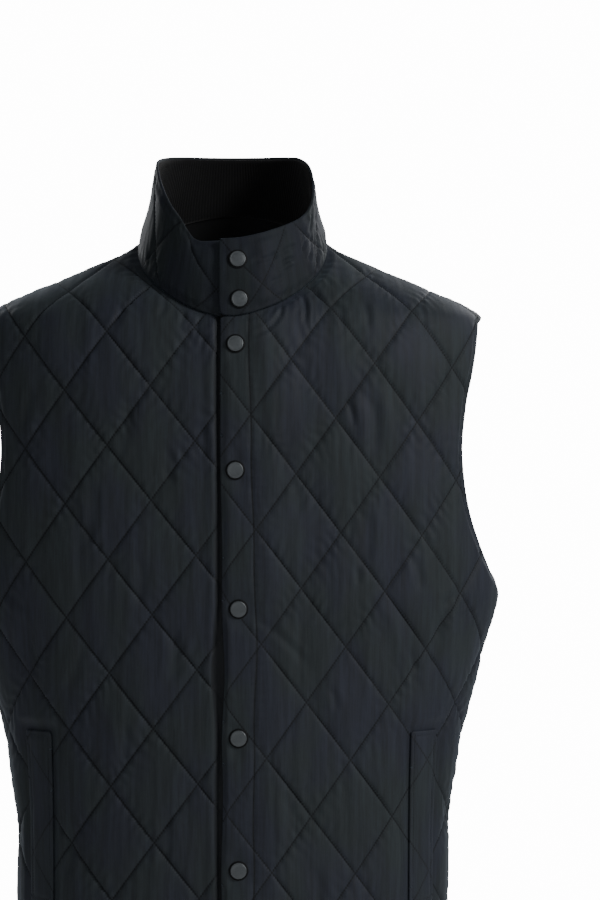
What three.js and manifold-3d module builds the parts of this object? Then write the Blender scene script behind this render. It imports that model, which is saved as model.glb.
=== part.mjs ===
// Quilted vest with a stand collar and a row of snaps, worn shape with no wearer.
// Millimetres, +Z up, the front faces -Y, +X is the wearer's left.
// The origin is the middle of the neck's base, level with the high points of the shoulders.
// Every panel is cut and quilted flat, in the cloth's own u (across) and v (up), then wrapped
// round the worn form, with w counted outwards from the form to the cloth's outer face.
import * as THREE from 'three';
import { mergeVertices } from 'three/addons/utils/BufferGeometryUtils.js';
import Module from 'manifold-3d';

const wasm = await Module();
wasm.setup();

// Cloth
const clothThickness = 2.4;
const puff = 3.2;
const collarPuff = 2.2;
const facingThickness = 1.2;
const seamGap = 0.3;
const edgeFlat = 2;
const edgeRise = 15;

// Quilting: diamonds of crossed lines, one diamond wide and high
const diamondWide = 83;
const leftDiamondWide = 79.5;
const diamondHigh = 107;
const cellsPerDiamond = 6;
const gridMargin = 0.3;
const onLineShare = 0.25;
const closestLines = 0.2;
const stitchReach = 1;

// Front closing
const overlapEdge = -9.5;
const underEdge = 20;
const placketWidth = 28.5;
const overlapLift = 5.2;
const liftEnds = 75;
const underPuff = 0.35;
const stitchedShare = 0.3;

// Heights
const hemHeight = -680;
const armpitHeight = -332;
const shoulderTipHeight = -69.5;
const shoulderNeckHeight = -3;

// Collar
const collarHeight = 72;
const collarTopHalfWidth = 70;
const collarTopHalfDepth = 68;
const collarTopCentre = -14;
const collarBulge = 2.5;
const collarSideBulge = 0;
const collarRim = 1.4;
const foldStep = 0.2;
const neckHalfWidth = 88.5;
const neckHalfDepth = 80.5;
const neckCentre = -15;
const neckBlend = 14;

// Snaps
const snapRadius = 8;
const snapHigh = 2.4;
const snapDomeRadius = 6.6;
const snapRimHigh = 1.3;
const snapSides = 20;
const collarSnapAcross = 7.5;
const snapPressed = 16;
const snapPressRise = 10;
const frontSnaps = [
  { across: 4.5, height: -100.5 },
  { across: 4.5, height: -217 },
  { across: 7.5, height: -346 },
  { across: 7.5, height: -467 },
  { across: 7.5, height: -591 },
];
const collarSnapRises = [15.5, 51.5];

// Side pockets
const weltWide = 31;
const weltTall = 165;
const weltThickness = 2;
const weltSlack = 0.2;
const weltAcross = 174;
const weltTop = -464;
const weltMargin = 16;

// The worn form: level rings, each with its half width, its depth before and behind
// the shoulder line, and how square its corners are
const ringTable = [
  { z: 40, half: 60, front: 10, back: 62, power: 2 },
  { z: 22, half: 76, front: 12, back: 72, power: 2 },
  { z: 0, half: 90, front: 22, back: 80, power: 2 },
  { z: -27, half: 143, front: 50, back: 88, power: 2.05 },
  { z: -50, half: 198, front: 75, back: 93, power: 2.1 },
  { z: -62, half: 225, front: 86, back: 95, power: 2.1 },
  { z: -74, half: 242, front: 95, back: 97, power: 2.1 },
  { z: -90, half: 247, front: 102, back: 99, power: 2.1 },
  { z: -120, half: 250, front: 109, back: 101, power: 2.1 },
  { z: -170, half: 251, front: 113, back: 104, power: 2.1 },
  { z: -240, half: 252, front: 115, back: 103, power: 2.1 },
  { z: -332, half: 253, front: 115, back: 98, power: 2.1 },
  { z: -358, half: 248, front: 114, back: 96, power: 2.1 },
  { z: -387, half: 238.5, front: 113, back: 94, power: 2.1 },
  { z: -445, half: 222, front: 112, back: 91, power: 2.15 },
  { z: -503, half: 210.5, front: 111, back: 91, power: 2.15 },
  { z: -560, half: 204, front: 111, back: 94, power: 2.2 },
  { z: -640, half: 203, front: 113, back: 99, power: 2.2 },
  { z: -720, half: 205, front: 114, back: 104, power: 2.2 },
];

// The armhole's edge as seen from the front: half width at each height
const armholeTable = [
  { z: -76, half: 235 },
  { z: -100, half: 232.5 },
  { z: -125, half: 228.5 },
  { z: -154, half: 222.5 },
  { z: -198, half: 218.5 },
  { z: -227, half: 220.5 },
  { z: -256, half: 225.5 },
  { z: -285, half: 234.5 },
  { z: -314, half: 246 },
];

// The collar's top edge: its height at each turn in degrees from the centre front, towards the
// wearer's left
const collarTopTable = [
  { turn: -180, height: 88 },
  { turn: -150, height: 88 },
  { turn: -130, height: 87 },
  { turn: -110, height: 84 },
  { turn: -90, height: 78 },
  { turn: -78, height: 69 },
  { turn: -71, height: 60 },
  { turn: -63, height: 50 },
  { turn: -52, height: 35 },
  { turn: -40, height: 20 },
  { turn: -33, height: 8 },
  { turn: -27, height: 0 },
  { turn: -19, height: -3 },
  { turn: 0, height: -2 },
  { turn: 8, height: -1 },
  { turn: 18, height: 2 },
  { turn: 29, height: 7 },
  { turn: 41, height: 13 },
  { turn: 57, height: 21 },
  { turn: 72, height: 32 },
  { turn: 90, height: 53 },
  { turn: 102, height: 70 },
  { turn: 114, height: 81 },
  { turn: 130, height: 87 },
  { turn: 150, height: 88 },
  { turn: 180, height: 88 },
];

const levelStep = 3;
const columnStep = 4;
const columnReach = 440;
const ringSteps = 360;
const normalStep = 4;
const levelTop = 36;
const levelBottom = -716;
const seamRows = 180;
const collarRows = 360;
const slopeStep = 1.5;
const formHeightLow = -150;
const formHeightRounds = 40;
const collarTurn = 0.02;
const collarLift = 0.05;
const closestPoints = 0.5;
const shoulderPoints = 7;
const armholePoints = 17;
const sidePoints = 12;
const hemPoints = 5;
const weltColumns = 2;
const weltRows = 10;
const seamSteps = 18;
const collarRaise = 1.5;

// A smooth curve through a table's rows that never overshoots them
function tableCurve(rows, key, along = 'z') {
  const sorted = [...rows].sort((a, b) => a[along] - b[along]);
  const xs = sorted.map((row) => row[along]);
  const ys = sorted.map((row) => row[key]);
  const slopes = xs.slice(1).map((x, i) => (ys[i + 1] - ys[i]) / (x - xs[i]));
  const tangents = ys.map((_, i) => {
    if (i === 0) return slopes[0];
    if (i === ys.length - 1) return slopes[i - 1];
    const product = slopes[i - 1] * slopes[i];
    return product > 0 ? 2 * product / (slopes[i - 1] + slopes[i]) : 0;
  });
  return (at) => {
    const x = THREE.MathUtils.clamp(at, xs[0], xs[xs.length - 1]);
    let i = 0;
    while (i < xs.length - 2 && x > xs[i + 1]) i += 1;
    const h = xs[i + 1] - xs[i];
    const t = (x - xs[i]) / h;
    const near = (1 + 2 * t) * (1 - t) ** 2 * ys[i] + h * t * (1 - t) ** 2 * tangents[i];
    const far = t * t * (3 - 2 * t) * ys[i + 1] + h * t * t * (t - 1) * tangents[i + 1];
    return near + far;
  };
}

const ringCurves = Object.fromEntries(
  ['half', 'front', 'back', 'power'].map((key) => [key, tableCurve(ringTable, key)]),
);
const armholeHalf = tableCurve(armholeTable, 'half');
const collarTopHeight = tableCurve(collarTopTable, 'height', 'turn');

function ringAt(z) {
  return {
    half: ringCurves.half(z),
    front: ringCurves.front(z),
    back: ringCurves.back(z),
    power: ringCurves.power(z),
  };
}

// One half of the worn form, seen from the front or from the back. It turns the cloth's flat
// u and v into places: u runs level round the form from its middle line, v runs up from the armpit.
class WornForm {
  constructor(facing) {
    this.facing = facing;
    this.levels = [];
    for (let z = levelTop; z >= levelBottom; z -= levelStep) this.levels.push(z);
    this.columns = Math.round(columnReach / columnStep) + 1;
    this.rings = this.levels.map((z) => this.walkRing(z));
    this.rise = this.measureRise();
  }

  ringPoint(ring, angle) {
    const turned = Math.abs(Math.cos(angle)) ** (2 / ring.power);
    const ahead = this.facing === 'front' ? angle < Math.PI / 2 : angle >= Math.PI / 2;
    return [
      ring.half * Math.abs(Math.sin(angle)) ** (2 / ring.power),
      ahead ? -ring.front * turned : ring.back * turned,
    ];
  }

  walkRing(z) {
    const ring = ringAt(z);
    const points = [];
    let last = this.ringPoint(ring, 0);
    let travelled = 0;
    let next = 0;
    for (let step = 1; step <= ringSteps; step += 1) {
      const here = this.ringPoint(ring, Math.PI * step / ringSteps);
      const length = Math.hypot(here[0] - last[0], here[1] - last[1]);
      while (next * columnStep <= travelled + length && next < this.columns) {
        const t = (next * columnStep - travelled) / length;
        points.push([last[0] + (here[0] - last[0]) * t, last[1] + (here[1] - last[1]) * t]);
        next += 1;
      }
      travelled += length;
      last = here;
    }
    while (points.length < this.columns) points.push([...last]);
    return points;
  }

  measureRise() {
    const rise = this.levels.map(() => new Float64Array(this.columns));
    for (let c = 0; c < this.columns; c += 1) {
      for (let i = 1; i < this.levels.length; i += 1) {
        const [x0, y0] = this.rings[i - 1][c];
        const [x1, y1] = this.rings[i][c];
        rise[i][c] = rise[i - 1][c] - Math.hypot(x1 - x0, y1 - y0, levelStep);
      }
      const zero = this.riseAtLevel(rise, c, armpitHeight);
      for (let i = 0; i < this.levels.length; i += 1) rise[i][c] -= zero;
    }
    return rise;
  }

  riseAtLevel(rise, c, z) {
    const place = THREE.MathUtils.clamp((levelTop - z) / levelStep, 0, this.levels.length - 1.001);
    const i = Math.floor(place);
    return rise[i][c] + (rise[i + 1][c] - rise[i][c]) * (place - i);
  }

  columnPoint(c, v) {
    let low = 0;
    let high = this.levels.length - 1;
    while (high - low > 1) {
      const middle = (low + high) >> 1;
      if (this.rise[middle][c] > v) low = middle;
      else high = middle;
    }
    const t = (v - this.rise[low][c]) / (this.rise[high][c] - this.rise[low][c]);
    const [x0, y0] = this.rings[low][c];
    const [x1, y1] = this.rings[high][c];
    return [x0 + (x1 - x0) * t, y0 + (y1 - y0) * t, this.levels[low] - levelStep * t];
  }

  onForm(u, v) {
    const place = Math.min(Math.abs(u) / columnStep, this.columns - 1.001);
    const c = Math.floor(place);
    const a = this.columnPoint(c, v);
    const b = this.columnPoint(c + 1, v);
    const t = place - c;
    const side = u < 0 ? -1 : 1;
    return new THREE.Vector3(
      side * (a[0] + (b[0] - a[0]) * t),
      a[1] + (b[1] - a[1]) * t,
      a[2] + (b[2] - a[2]) * t,
    );
  }

  normal(u, v) {
    const across = this.onForm(u + normalStep, v).sub(this.onForm(u - normalStep, v));
    const up = this.onForm(u, v + normalStep).sub(this.onForm(u, v - normalStep));
    const out = across.cross(up).normalize();
    return this.facing === 'front' ? out : out.negate();
  }

  // Flat place of the form's point at a given half width and height, on the side that faces out
  flatOf(x, z) {
    const ring = ringAt(z);
    const ratio = Math.min(Math.abs(x) / ring.half, 1);
    const angle = Math.asin(ratio ** (ring.power / 2));
    let u = 0;
    let last = this.ringPoint(ring, 0);
    for (let step = 1; step <= ringSteps; step += 1) {
      const here = this.ringPoint(ring, Math.min(angle, Math.PI / 2 - 1e-9) * step / ringSteps);
      u += Math.hypot(here[0] - last[0], here[1] - last[1]);
      last = here;
    }
    return [x < 0 ? -u : u, this.flatHeight(u, z)];
  }

  flatHeight(u, z) {
    const place = Math.min(Math.abs(u) / columnStep, this.columns - 1.001);
    const c = Math.floor(place);
    const near = this.riseAtLevel(this.rise, c, z);
    const far = this.riseAtLevel(this.rise, c + 1, z);
    return near + (far - near) * (place - c);
  }

  seam(z) {
    return this.flatOf(ringAt(z).half, z);
  }

  // A point of the cloth: near the neck the cloth's edge leans to meet the collar's edge
  place(u, v, w) {
    const point = this.onForm(u, v);
    const normal = this.normal(u, v);
    const neck = neckSeam.nearest(point);
    const share = 1 - THREE.MathUtils.smoothstep(neck.away, 0, neckBlend);
    if (share > 0) {
      const mitre = neck.mitre.clone().divideScalar(neck.mitre.dot(normal));
      normal.lerp(mitre, share);
    }
    point.addScaledVector(normal, w);
    const seamClear = seamGap / 2;
    point.y = this.facing === 'front' ? Math.min(point.y, -seamClear) : Math.max(point.y, seamClear);
    return point;
  }
}

// The height at which the worn form passes through a point of the plan
function formHeight(x, y) {
  let high = levelTop;
  let low = formHeightLow;
  for (let round = 0; round < formHeightRounds; round += 1) {
    const z = (high + low) / 2;
    const ring = ringAt(z);
    const depth = y < 0 ? ring.front : ring.back;
    const reach = (Math.abs(x) / ring.half) ** ring.power + (Math.abs(y) / depth) ** ring.power;
    if (reach > 1) high = z;
    else low = z;
  }
  return (high + low) / 2;
}

// The seam between the panels and the collar, an oval in plan, at an angle from the centre front
class NeckSeam {
  plan(angle) {
    return [neckHalfWidth * Math.sin(angle), neckCentre - neckHalfDepth * Math.cos(angle)];
  }

  point(angle) {
    const [x, y] = this.plan(angle);
    return new THREE.Vector3(x, y, formHeight(x, y));
  }

  formNormal(angle) {
    const [x, y] = this.plan(angle);
    const slopeX = (formHeight(x + slopeStep, y) - formHeight(x - slopeStep, y)) / (2 * slopeStep);
    const slopeY = (formHeight(x, y + slopeStep) - formHeight(x, y - slopeStep)) / (2 * slopeStep);
    return new THREE.Vector3(-slopeX, -slopeY, 1).normalize();
  }

  prepare() {
    this.rows = [];
    for (let i = 0; i <= 2 * seamRows; i += 1) {
      const angle = Math.PI * (i / seamRows - 1);
      const mitre = this.formNormal(angle).add(collarForm.seamNormal(angle)).normalize();
      this.rows.push({ angle, point: this.point(angle), mitre });
    }
  }

  // The seam's place nearest to a point, how far outside the seam it is, and the edges' direction
  nearest(point) {
    const angle = Math.atan2(point.x / neckHalfWidth, (neckCentre - point.y) / neckHalfDepth);
    const row = this.rows[Math.round((angle / Math.PI + 1) * seamRows)];
    return { away: point.distanceTo(row.point), mitre: row.mitre };
  }
}

// The collar's form: it rises from the neck seam to its top edge. Flat s runs from the centre
// front round the wearer's left side, t runs up from the seam.
class CollarForm {
  topPoint(angle) {
    const turn = THREE.MathUtils.radToDeg(Math.atan2(Math.sin(angle), Math.cos(angle)));
    return new THREE.Vector3(
      collarTopHalfWidth * Math.sin(angle),
      collarTopCentre - collarTopHalfDepth * Math.cos(angle),
      collarTopHeight(turn),
    );
  }

  raw(angle, share) {
    const point = neckSeam.point(angle).lerp(this.topPoint(angle), share);
    const most = THREE.MathUtils.lerp(collarBulge, collarSideBulge, Math.sin(angle) ** 2);
    const bulge = most * Math.sin(Math.PI * THREE.MathUtils.clamp(share, 0, 1));
    point.x += bulge * Math.sin(angle);
    point.y -= bulge * Math.cos(angle);
    return point;
  }

  rawNormal(angle, share) {
    const across = this.raw(angle + collarTurn, share).sub(this.raw(angle - collarTurn, share));
    const up = this.raw(angle, share + collarLift).sub(this.raw(angle, share - collarLift));
    return across.cross(up).normalize();
  }

  seamNormal(angle) {
    return this.rawNormal(angle, collarLift);
  }

  prepare() {
    this.angles = [];
    this.lengths = [];
    let travelled = 0;
    let last = this.raw(-Math.PI / 2, 0.5);
    for (let i = 0; i <= collarRows * 1.5; i += 1) {
      const angle = -Math.PI / 2 + 2 * Math.PI * i / collarRows;
      const here = this.raw(angle, 0.5);
      travelled += here.distanceTo(last);
      this.angles.push(angle);
      this.lengths.push(travelled);
      last = here;
    }
    const zero = this.lengths[collarRows / 4];
    this.lengths = this.lengths.map((length) => length - zero);
    this.around = this.lengths[collarRows / 4 + collarRows];
  }

  angleAt(s) {
    let i = 1;
    while (i < this.lengths.length - 1 && this.lengths[i] < s) i += 1;
    const t = (s - this.lengths[i - 1]) / (this.lengths[i] - this.lengths[i - 1]);
    return this.angles[i - 1] + (this.angles[i] - this.angles[i - 1]) * t;
  }

  place(s, t, w) {
    const angle = this.angleAt(s);
    const share = t / collarHeight;
    const normal = this.rawNormal(angle, THREE.MathUtils.clamp(share, collarLift, 1 - collarLift));
    const low = 1 - THREE.MathUtils.smoothstep(t, 0, neckBlend);
    if (low > 0) {
      const mitre = neckSeam.formNormal(angle).add(this.seamNormal(angle)).normalize();
      normal.lerp(mitre.divideScalar(mitre.dot(normal)), low);
    }
    const point = this.raw(angle, share).addScaledVector(normal, w);
    point.z += collarRaise;
    return point;
  }
}

const neckSeam = new NeckSeam();
const collarForm = new CollarForm();
neckSeam.prepare();
collarForm.prepare();
const frontForm = new WornForm('front');
const backForm = new WornForm('back');

// How high the wadding stands at a flat place: nothing on the stitched lines, most in between
function quiltRise(grid, u, v) {
  const du = u - grid.u;
  const dv = v - grid.v;
  const twist = 1 - grid.lean * grid.droop;
  const i = (du - grid.lean * dv) / twist / grid.wide;
  const j = (dv - grid.droop * du) / twist / diamondHigh;
  const p = i + j - Math.floor(i + j);
  const q = i - j - Math.floor(i - j);
  return Math.sqrt(16 * p * (1 - p) * q * (1 - q));
}

// The cloth's grid: its cells' diagonals lie along the quilting lines
function gridPlace(grid, i, j) {
  const du = i * grid.wide / cellsPerDiamond;
  const dv = j * diamondHigh / cellsPerDiamond;
  return [grid.u + du + grid.lean * dv, grid.v + dv + grid.droop * du];
}

function gridRange(grid, outline, innerStep) {
  const twist = 1 - grid.lean * grid.droop;
  const is = outline.map(([u, v]) => (u - grid.u - grid.lean * (v - grid.v)) / twist);
  const js = outline.map(([u, v]) => (v - grid.v - grid.droop * (u - grid.u)) / twist);
  const blocks = (value, size) => value / size / innerStep;
  const low = (values, size) => Math.floor(blocks(Math.min(...values), size) - gridMargin) * innerStep;
  const high = (values, size) => Math.ceil(blocks(Math.max(...values), size) + gridMargin) * innerStep;
  const wide = grid.wide / cellsPerDiamond;
  const tall = diamondHigh / cellsPerDiamond;
  return { i0: low(is, wide), i1: high(is, wide), j0: low(js, tall), j1: high(js, tall) };
}

function distanceToOutline(outline, u, v) {
  let best = Infinity;
  outline.forEach(([u0, v0], k) => {
    const [u1, v1] = outline[(k + 1) % outline.length];
    const length = (u1 - u0) ** 2 + (v1 - v0) ** 2;
    const t = THREE.MathUtils.clamp(((u - u0) * (u1 - u0) + (v - v0) * (v1 - v0)) / length, 0, 1);
    best = Math.min(best, Math.hypot(u - u0 - (u1 - u0) * t, v - v0 - (v1 - v0) * t));
  });
  return best;
}

function edgeMask(outline, u, v) {
  return THREE.MathUtils.smoothstep(distanceToOutline(outline, u, v), edgeFlat, edgeFlat + edgeRise);
}

// A closed flat slab over the grid: a fine outer face, a plain and coarser inner face
function quiltedSlab(grid, outline, innerStep, innerAt, outerAt) {
  const { i0, i1, j0, j1 } = gridRange(grid, outline, innerStep);
  const points = [];
  const faces = [];
  const outer = new Map();
  const inner = new Map();
  const key = (i, j) => `${i},${j}`;
  for (let i = i0; i <= i1; i += 1) {
    for (let j = j0; j <= j1; j += 1) {
      const [u, v] = gridPlace(grid, i, j);
      outer.set(key(i, j), points.push([u, v, outerAt(u, v)]) - 1);
      if ((i - i0) % innerStep === 0 && (j - j0) % innerStep === 0) {
        inner.set(key(i, j), points.push([u, v, innerAt(u, v)]) - 1);
      }
    }
  }
  const cell = (map, i, j, step, flip) => {
    const a = map.get(key(i, j));
    const b = map.get(key(i + step, j));
    const c = map.get(key(i + step, j + step));
    const d = map.get(key(i, j + step));
    const rising = ((i - j) % cellsPerDiamond === 0);
    const falling = ((i + j + 1) % cellsPerDiamond === 0);
    const turned = falling || (!rising && (i + j) % 2 !== 0);
    const split = turned ? [[a, b, d], [b, c, d]] : [[a, b, c], [a, c, d]];
    split.forEach((t) => faces.push(flip ? [t[0], t[2], t[1]] : t));
  };
  for (let i = i0; i < i1; i += 1) {
    for (let j = j0; j < j1; j += 1) cell(outer, i, j, 1, false);
  }
  for (let i = i0; i < i1; i += innerStep) {
    for (let j = j0; j < j1; j += innerStep) cell(inner, i, j, innerStep, true);
  }
  const wall = (from, to, flip) => {
    const [di, dj] = [Math.sign(to[0] - from[0]), Math.sign(to[1] - from[1])];
    const steps = Math.max(Math.abs(to[0] - from[0]), Math.abs(to[1] - from[1]));
    const push = (t) => faces.push(flip ? [t[0], t[2], t[1]] : t);
    for (let n = 0; n < steps; n += innerStep) {
      const at = (k) => key(from[0] + di * (n + k), from[1] + dj * (n + k));
      for (let k = 0; k < innerStep; k += 1) {
        push([inner.get(at(0)), outer.get(at(k + 1)), outer.get(at(k))]);
      }
      push([inner.get(at(0)), inner.get(at(innerStep)), outer.get(at(innerStep))]);
    }
  };
  wall([i0, j0], [i1, j0], false);
  wall([i1, j0], [i1, j1], false);
  wall([i1, j1], [i0, j1], false);
  wall([i0, j1], [i0, j0], false);
  return solidOf(points.flat(), faces.flat());
}

function solidOf(positions, indices) {
  const triVerts = Uint32Array.from(indices);
  const faceID = Uint32Array.from({ length: triVerts.length / 3 }, (_, k) => k);
  const mesh = new wasm.Mesh({
    numProp: 3,
    vertProperties: Float32Array.from(positions),
    triVerts,
    faceID,
  });
  return new wasm.Manifold(mesh);
}

function solidFromGeometry(geometry) {
  const bare = geometry.clone();
  bare.deleteAttribute('normal');
  bare.deleteAttribute('uv');
  const merged = mergeVertices(bare, 1e-4);
  return solidOf(Array.from(merged.attributes.position.array), Array.from(merged.index.array));
}

// A straight cutter standing on a flat outline
const cutterReach = 30;
function cutter(outline) {
  const shape = new THREE.Shape(outline.map(([u, v]) => new THREE.Vector2(u, v)));
  const geometry = new THREE.ExtrudeGeometry(shape, { depth: 2 * cutterReach, bevelEnabled: false });
  geometry.translate(0, 0, -cutterReach);
  return solidFromGeometry(geometry);
}

// A closed flat band with its own columns and rows, cut square
function bandSolid(grid, columns, rows, innerAt, outerAt) {
  const points = [];
  const faces = [];
  const count = rows.length;
  const outer = (i, j) => 2 * (i * count + j);
  const inner = (i, j) => outer(i, j) + 1;
  columns.forEach((u) => rows.forEach((v) => {
    points.push([u, v, outerAt(u, v)], [u, v, innerAt(u, v)]);
  }));
  const quad = (a, b, c, d, falling) => {
    if (falling) faces.push([a, b, d], [b, c, d]);
    else faces.push([a, b, c], [a, c, d]);
  };
  const last = [columns.length - 1, count - 1];
  for (let i = 0; i < last[0]; i += 1) {
    for (let j = 0; j < last[1]; j += 1) {
      const u = (columns[i] + columns[i + 1]) / 2 - grid.u;
      const v = (rows[j] + rows[j + 1]) / 2 - grid.v;
      const along = u / grid.wide + v / diamondHigh;
      const falling = Math.abs(along - Math.round(along)) < onLineShare / cellsPerDiamond;
      quad(outer(i, j), outer(i + 1, j), outer(i + 1, j + 1), outer(i, j + 1), falling);
      quad(inner(i, j), inner(i, j + 1), inner(i + 1, j + 1), inner(i + 1, j), !falling);
    }
    quad(outer(i, 0), inner(i, 0), inner(i + 1, 0), outer(i + 1, 0), false);
    quad(outer(i, last[1]), outer(i + 1, last[1]), inner(i + 1, last[1]), inner(i, last[1]), false);
  }
  for (let j = 0; j < last[1]; j += 1) {
    quad(outer(0, j), outer(0, j + 1), inner(0, j + 1), inner(0, j), false);
    quad(outer(last[0], j), inner(last[0], j), inner(last[0], j + 1), outer(last[0], j + 1), false);
  }
  return solidOf(points.flat(), faces.flat());
}

// The grid's own lines between two limits, with the limits themselves
function linesBetween(start, size, from, to) {
  const lines = [from];
  const closest = size / cellsPerDiamond * closestLines;
  for (let k = Math.ceil((from - start) / size * cellsPerDiamond); ; k += 1) {
    const at = start + k * size / cellsPerDiamond;
    if (at > to - closest) break;
    if (at > from + closest) lines.push(at);
  }
  return [...lines, to];
}

// Wrap a flat solid round its form
function wrapped(solid, form) {
  const { vertProperties, triVerts, numProp } = solid.getMesh();
  const positions = new Float32Array(vertProperties.length / numProp * 3);
  for (let k = 0; k < vertProperties.length / numProp; k += 1) {
    const [u, v, w] = vertProperties.slice(k * numProp, k * numProp + 3);
    form.place(u, v, w).toArray(positions, k * 3);
  }
  const geometry = new THREE.BufferGeometry();
  geometry.setAttribute('position', new THREE.BufferAttribute(positions, 3));
  const index = Array.from(triVerts);
  if (form.facing === 'back') index.reverse();
  geometry.setIndex(index);
  geometry.computeVertexNormals();
  return geometry;
}

function steps(from, to, count) {
  return Array.from({ length: count + 1 }, (_, k) => from + (to - from) * k / count);
}

// Flat outlines

function necklineFlat(form, fromAngle, toAngle) {
  return steps(fromAngle, toAngle, seamSteps).map((angle) => {
    const point = neckSeam.point(angle);
    return form.flatOf(point.x, point.z);
  });
}

function withoutNeighbours(outline) {
  return outline.filter(([u, v], k) => {
    const [u0, v0] = outline[(k + outline.length - 1) % outline.length];
    return Math.hypot(u - u0, v - v0) > closestPoints;
  });
}

// From the neck along the shoulder, round the armhole and down the side seam to the hem
function outerEdge(form) {
  const shoulder = steps(shoulderNeckHeight, shoulderTipHeight, shoulderPoints).map((z) => form.seam(z));
  const armhole = steps(armholeTable[0].z, armholeTable[armholeTable.length - 1].z, armholePoints)
    .map((z) => form.flatOf(armholeHalf(z), z));
  const side = steps(armpitHeight, hemHeight, sidePoints).map((z) => form.seam(z));
  return [...shoulder, ...armhole, ...side];
}

const shoulderAngle = Math.acos(neckCentre / neckHalfDepth);

function frontOutline(side, edge) {
  const startAngle = Math.asin(edge / neckHalfWidth);
  const neck = necklineFlat(frontForm, startAngle, shoulderAngle);
  neck[0][0] = edge;
  const hem = steps(frontForm.seam(hemHeight)[0], edge, hemPoints)
    .map((u) => [u, frontForm.flatHeight(u, hemHeight)]);
  const outline = withoutNeighbours([...neck, ...outerEdge(frontForm), ...hem.slice(1)]);
  return side < 0 ? outline.map(([u, v]) => [-u, v]).reverse() : outline;
}

function backOutline() {
  const neck = necklineFlat(backForm, Math.PI, shoulderAngle);
  neck[0][0] = 0;
  const hem = steps(backForm.seam(hemHeight)[0], 0, hemPoints)
    .map((u) => [u, backForm.flatHeight(u, hemHeight)]);
  const half = withoutNeighbours([...neck, ...outerEdge(backForm), ...hem.slice(1)]);
  const mirrored = half.slice(1, -1).map(([u, v]) => [-u, v]).reverse();
  return [...half, ...mirrored];
}

// Panels

const leftGrid = { u: overlapEdge + placketWidth, v: 167, wide: leftDiamondWide, lean: -0.045, droop: -0.042 };
const rightGrid = { u: 8, v: 198, wide: diamondWide, lean: -0.009, droop: 0.045 };
const backGrid = { u: 0, v: 180, wide: diamondWide, lean: 0, droop: 0 };
const collarGrid = { u: 28, v: 25, wide: diamondWide, lean: 0, droop: 0 };
const panelInnerStep = 2;

function overlapLiftAt(u) {
  return overlapLift * (1 - THREE.MathUtils.smoothstep(u, underEdge, liftEnds));
}

function frontSnapPlaces() {
  return frontSnaps.map(({ across, height }) => [across, frontForm.flatHeight(across, height)]);
}

function collarSnapPlaces() {
  return collarSnapRises.map((t) => [collarSnapAcross, t]);
}

// The wadding is pressed flat round each snap
function snapMask(places, u, v) {
  return places.reduce((mask, [us, vs]) => {
    const away = Math.hypot(u - us, v - vs);
    return mask * THREE.MathUtils.smoothstep(away, snapPressed, snapPressed + snapPressRise);
  }, 1);
}

function weltTopFlat() {
  return frontForm.flatHeight(weltAcross, weltTop);
}

function weltMask(side, u, v) {
  const top = weltTopFlat();
  const across = Math.max(weltAcross - side * u, side * u - weltAcross - weltWide, 0);
  const along = Math.max(v - top, top - weltTall - v, 0);
  return THREE.MathUtils.smoothstep(Math.hypot(across, along), weltMargin, weltMargin + edgeRise);
}

const shellLook = { color: 0x2a2e34, roughness: 0.7, metalness: 0 };
const corduroyLook = { color: 0x0c0c0d, roughness: 0.95, metalness: 0 };
const snapLook = { color: 0x494e53, roughness: 0.5, metalness: 0.3 };

function named(name, geometry, look) {
  const mesh = new THREE.Mesh(geometry, new THREE.MeshStandardMaterial(look));
  mesh.name = name;
  return mesh;
}

function frontInner(side, u) {
  return side > 0 ? overlapLiftAt(u) : 0;
}

function frontOuter(side, grid, outline, u, v) {
  const under = side < 0 && u > overlapEdge - edgeRise ? underPuff : 1;
  const onStitching = side > 0 && Math.abs(u - grid.u - grid.lean * (v - grid.v)) < stitchReach;
  const stitched = onStitching ? stitchedShare : 1;
  const pressed = side > 0 ? snapMask(frontSnapPlaces(), u, v) : 1;
  const mask = edgeMask(outline, u, v) * weltMask(side, u, v) * under * stitched * pressed;
  return frontInner(side, u) + clothThickness + puff * quiltRise(grid, u, v) * mask;
}

function frontPanel(side) {
  const outline = frontOutline(side, side > 0 ? overlapEdge : -underEdge);
  const grid = side > 0 ? leftGrid : rightGrid;
  const inner = (u) => frontInner(side, u);
  const outer = (u, v) => frontOuter(side, grid, outline, u, v);
  const flat = quiltedSlab(grid, outline, panelInnerStep, inner, outer).intersect(cutter(outline));
  return named(side > 0 ? 'front_left' : 'front_right', wrapped(flat, frontForm), shellLook);
}

function backPanel() {
  const outline = backOutline();
  const outer = (u, v) => clothThickness + puff * quiltRise(backGrid, u, v) * edgeMask(outline, u, v);
  const flat = quiltedSlab(backGrid, outline, panelInnerStep, () => 0, outer).intersect(cutter(outline));
  return named('back', wrapped(flat, backForm), shellLook);
}

// The welt lies on the front, from the same flat places, moved out
function pocketWelt(side) {
  const top = weltTopFlat();
  const across = steps(side * weltAcross, side * (weltAcross + weltWide), weltColumns);
  const columns = side > 0 ? across : across.reverse();
  const rows = steps(top - weltTall, top, weltRows);
  const under = clothThickness + seamGap + weltSlack;
  const flat = bandSolid(leftGrid, columns, rows, () => under, () => under + weltThickness);
  return named(side > 0 ? 'pocket_welt_left' : 'pocket_welt_right', wrapped(flat, frontForm), shellLook);
}

// Collar

function collarOuter(outline, s, t) {
  const under = s > collarForm.around + overlapEdge - edgeRise ? underPuff : 1;
  const mask = edgeMask(outline, s, t) * under * snapMask(collarSnapPlaces(), s, t);
  return facingThickness + seamGap + clothThickness + collarPuff * quiltRise(collarGrid, s, t) * mask;
}

function collarColumns(margin) {
  const end = collarForm.around + underEdge;
  return linesBetween(collarGrid.u, collarGrid.wide, overlapEdge + margin, end - margin);
}

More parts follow.
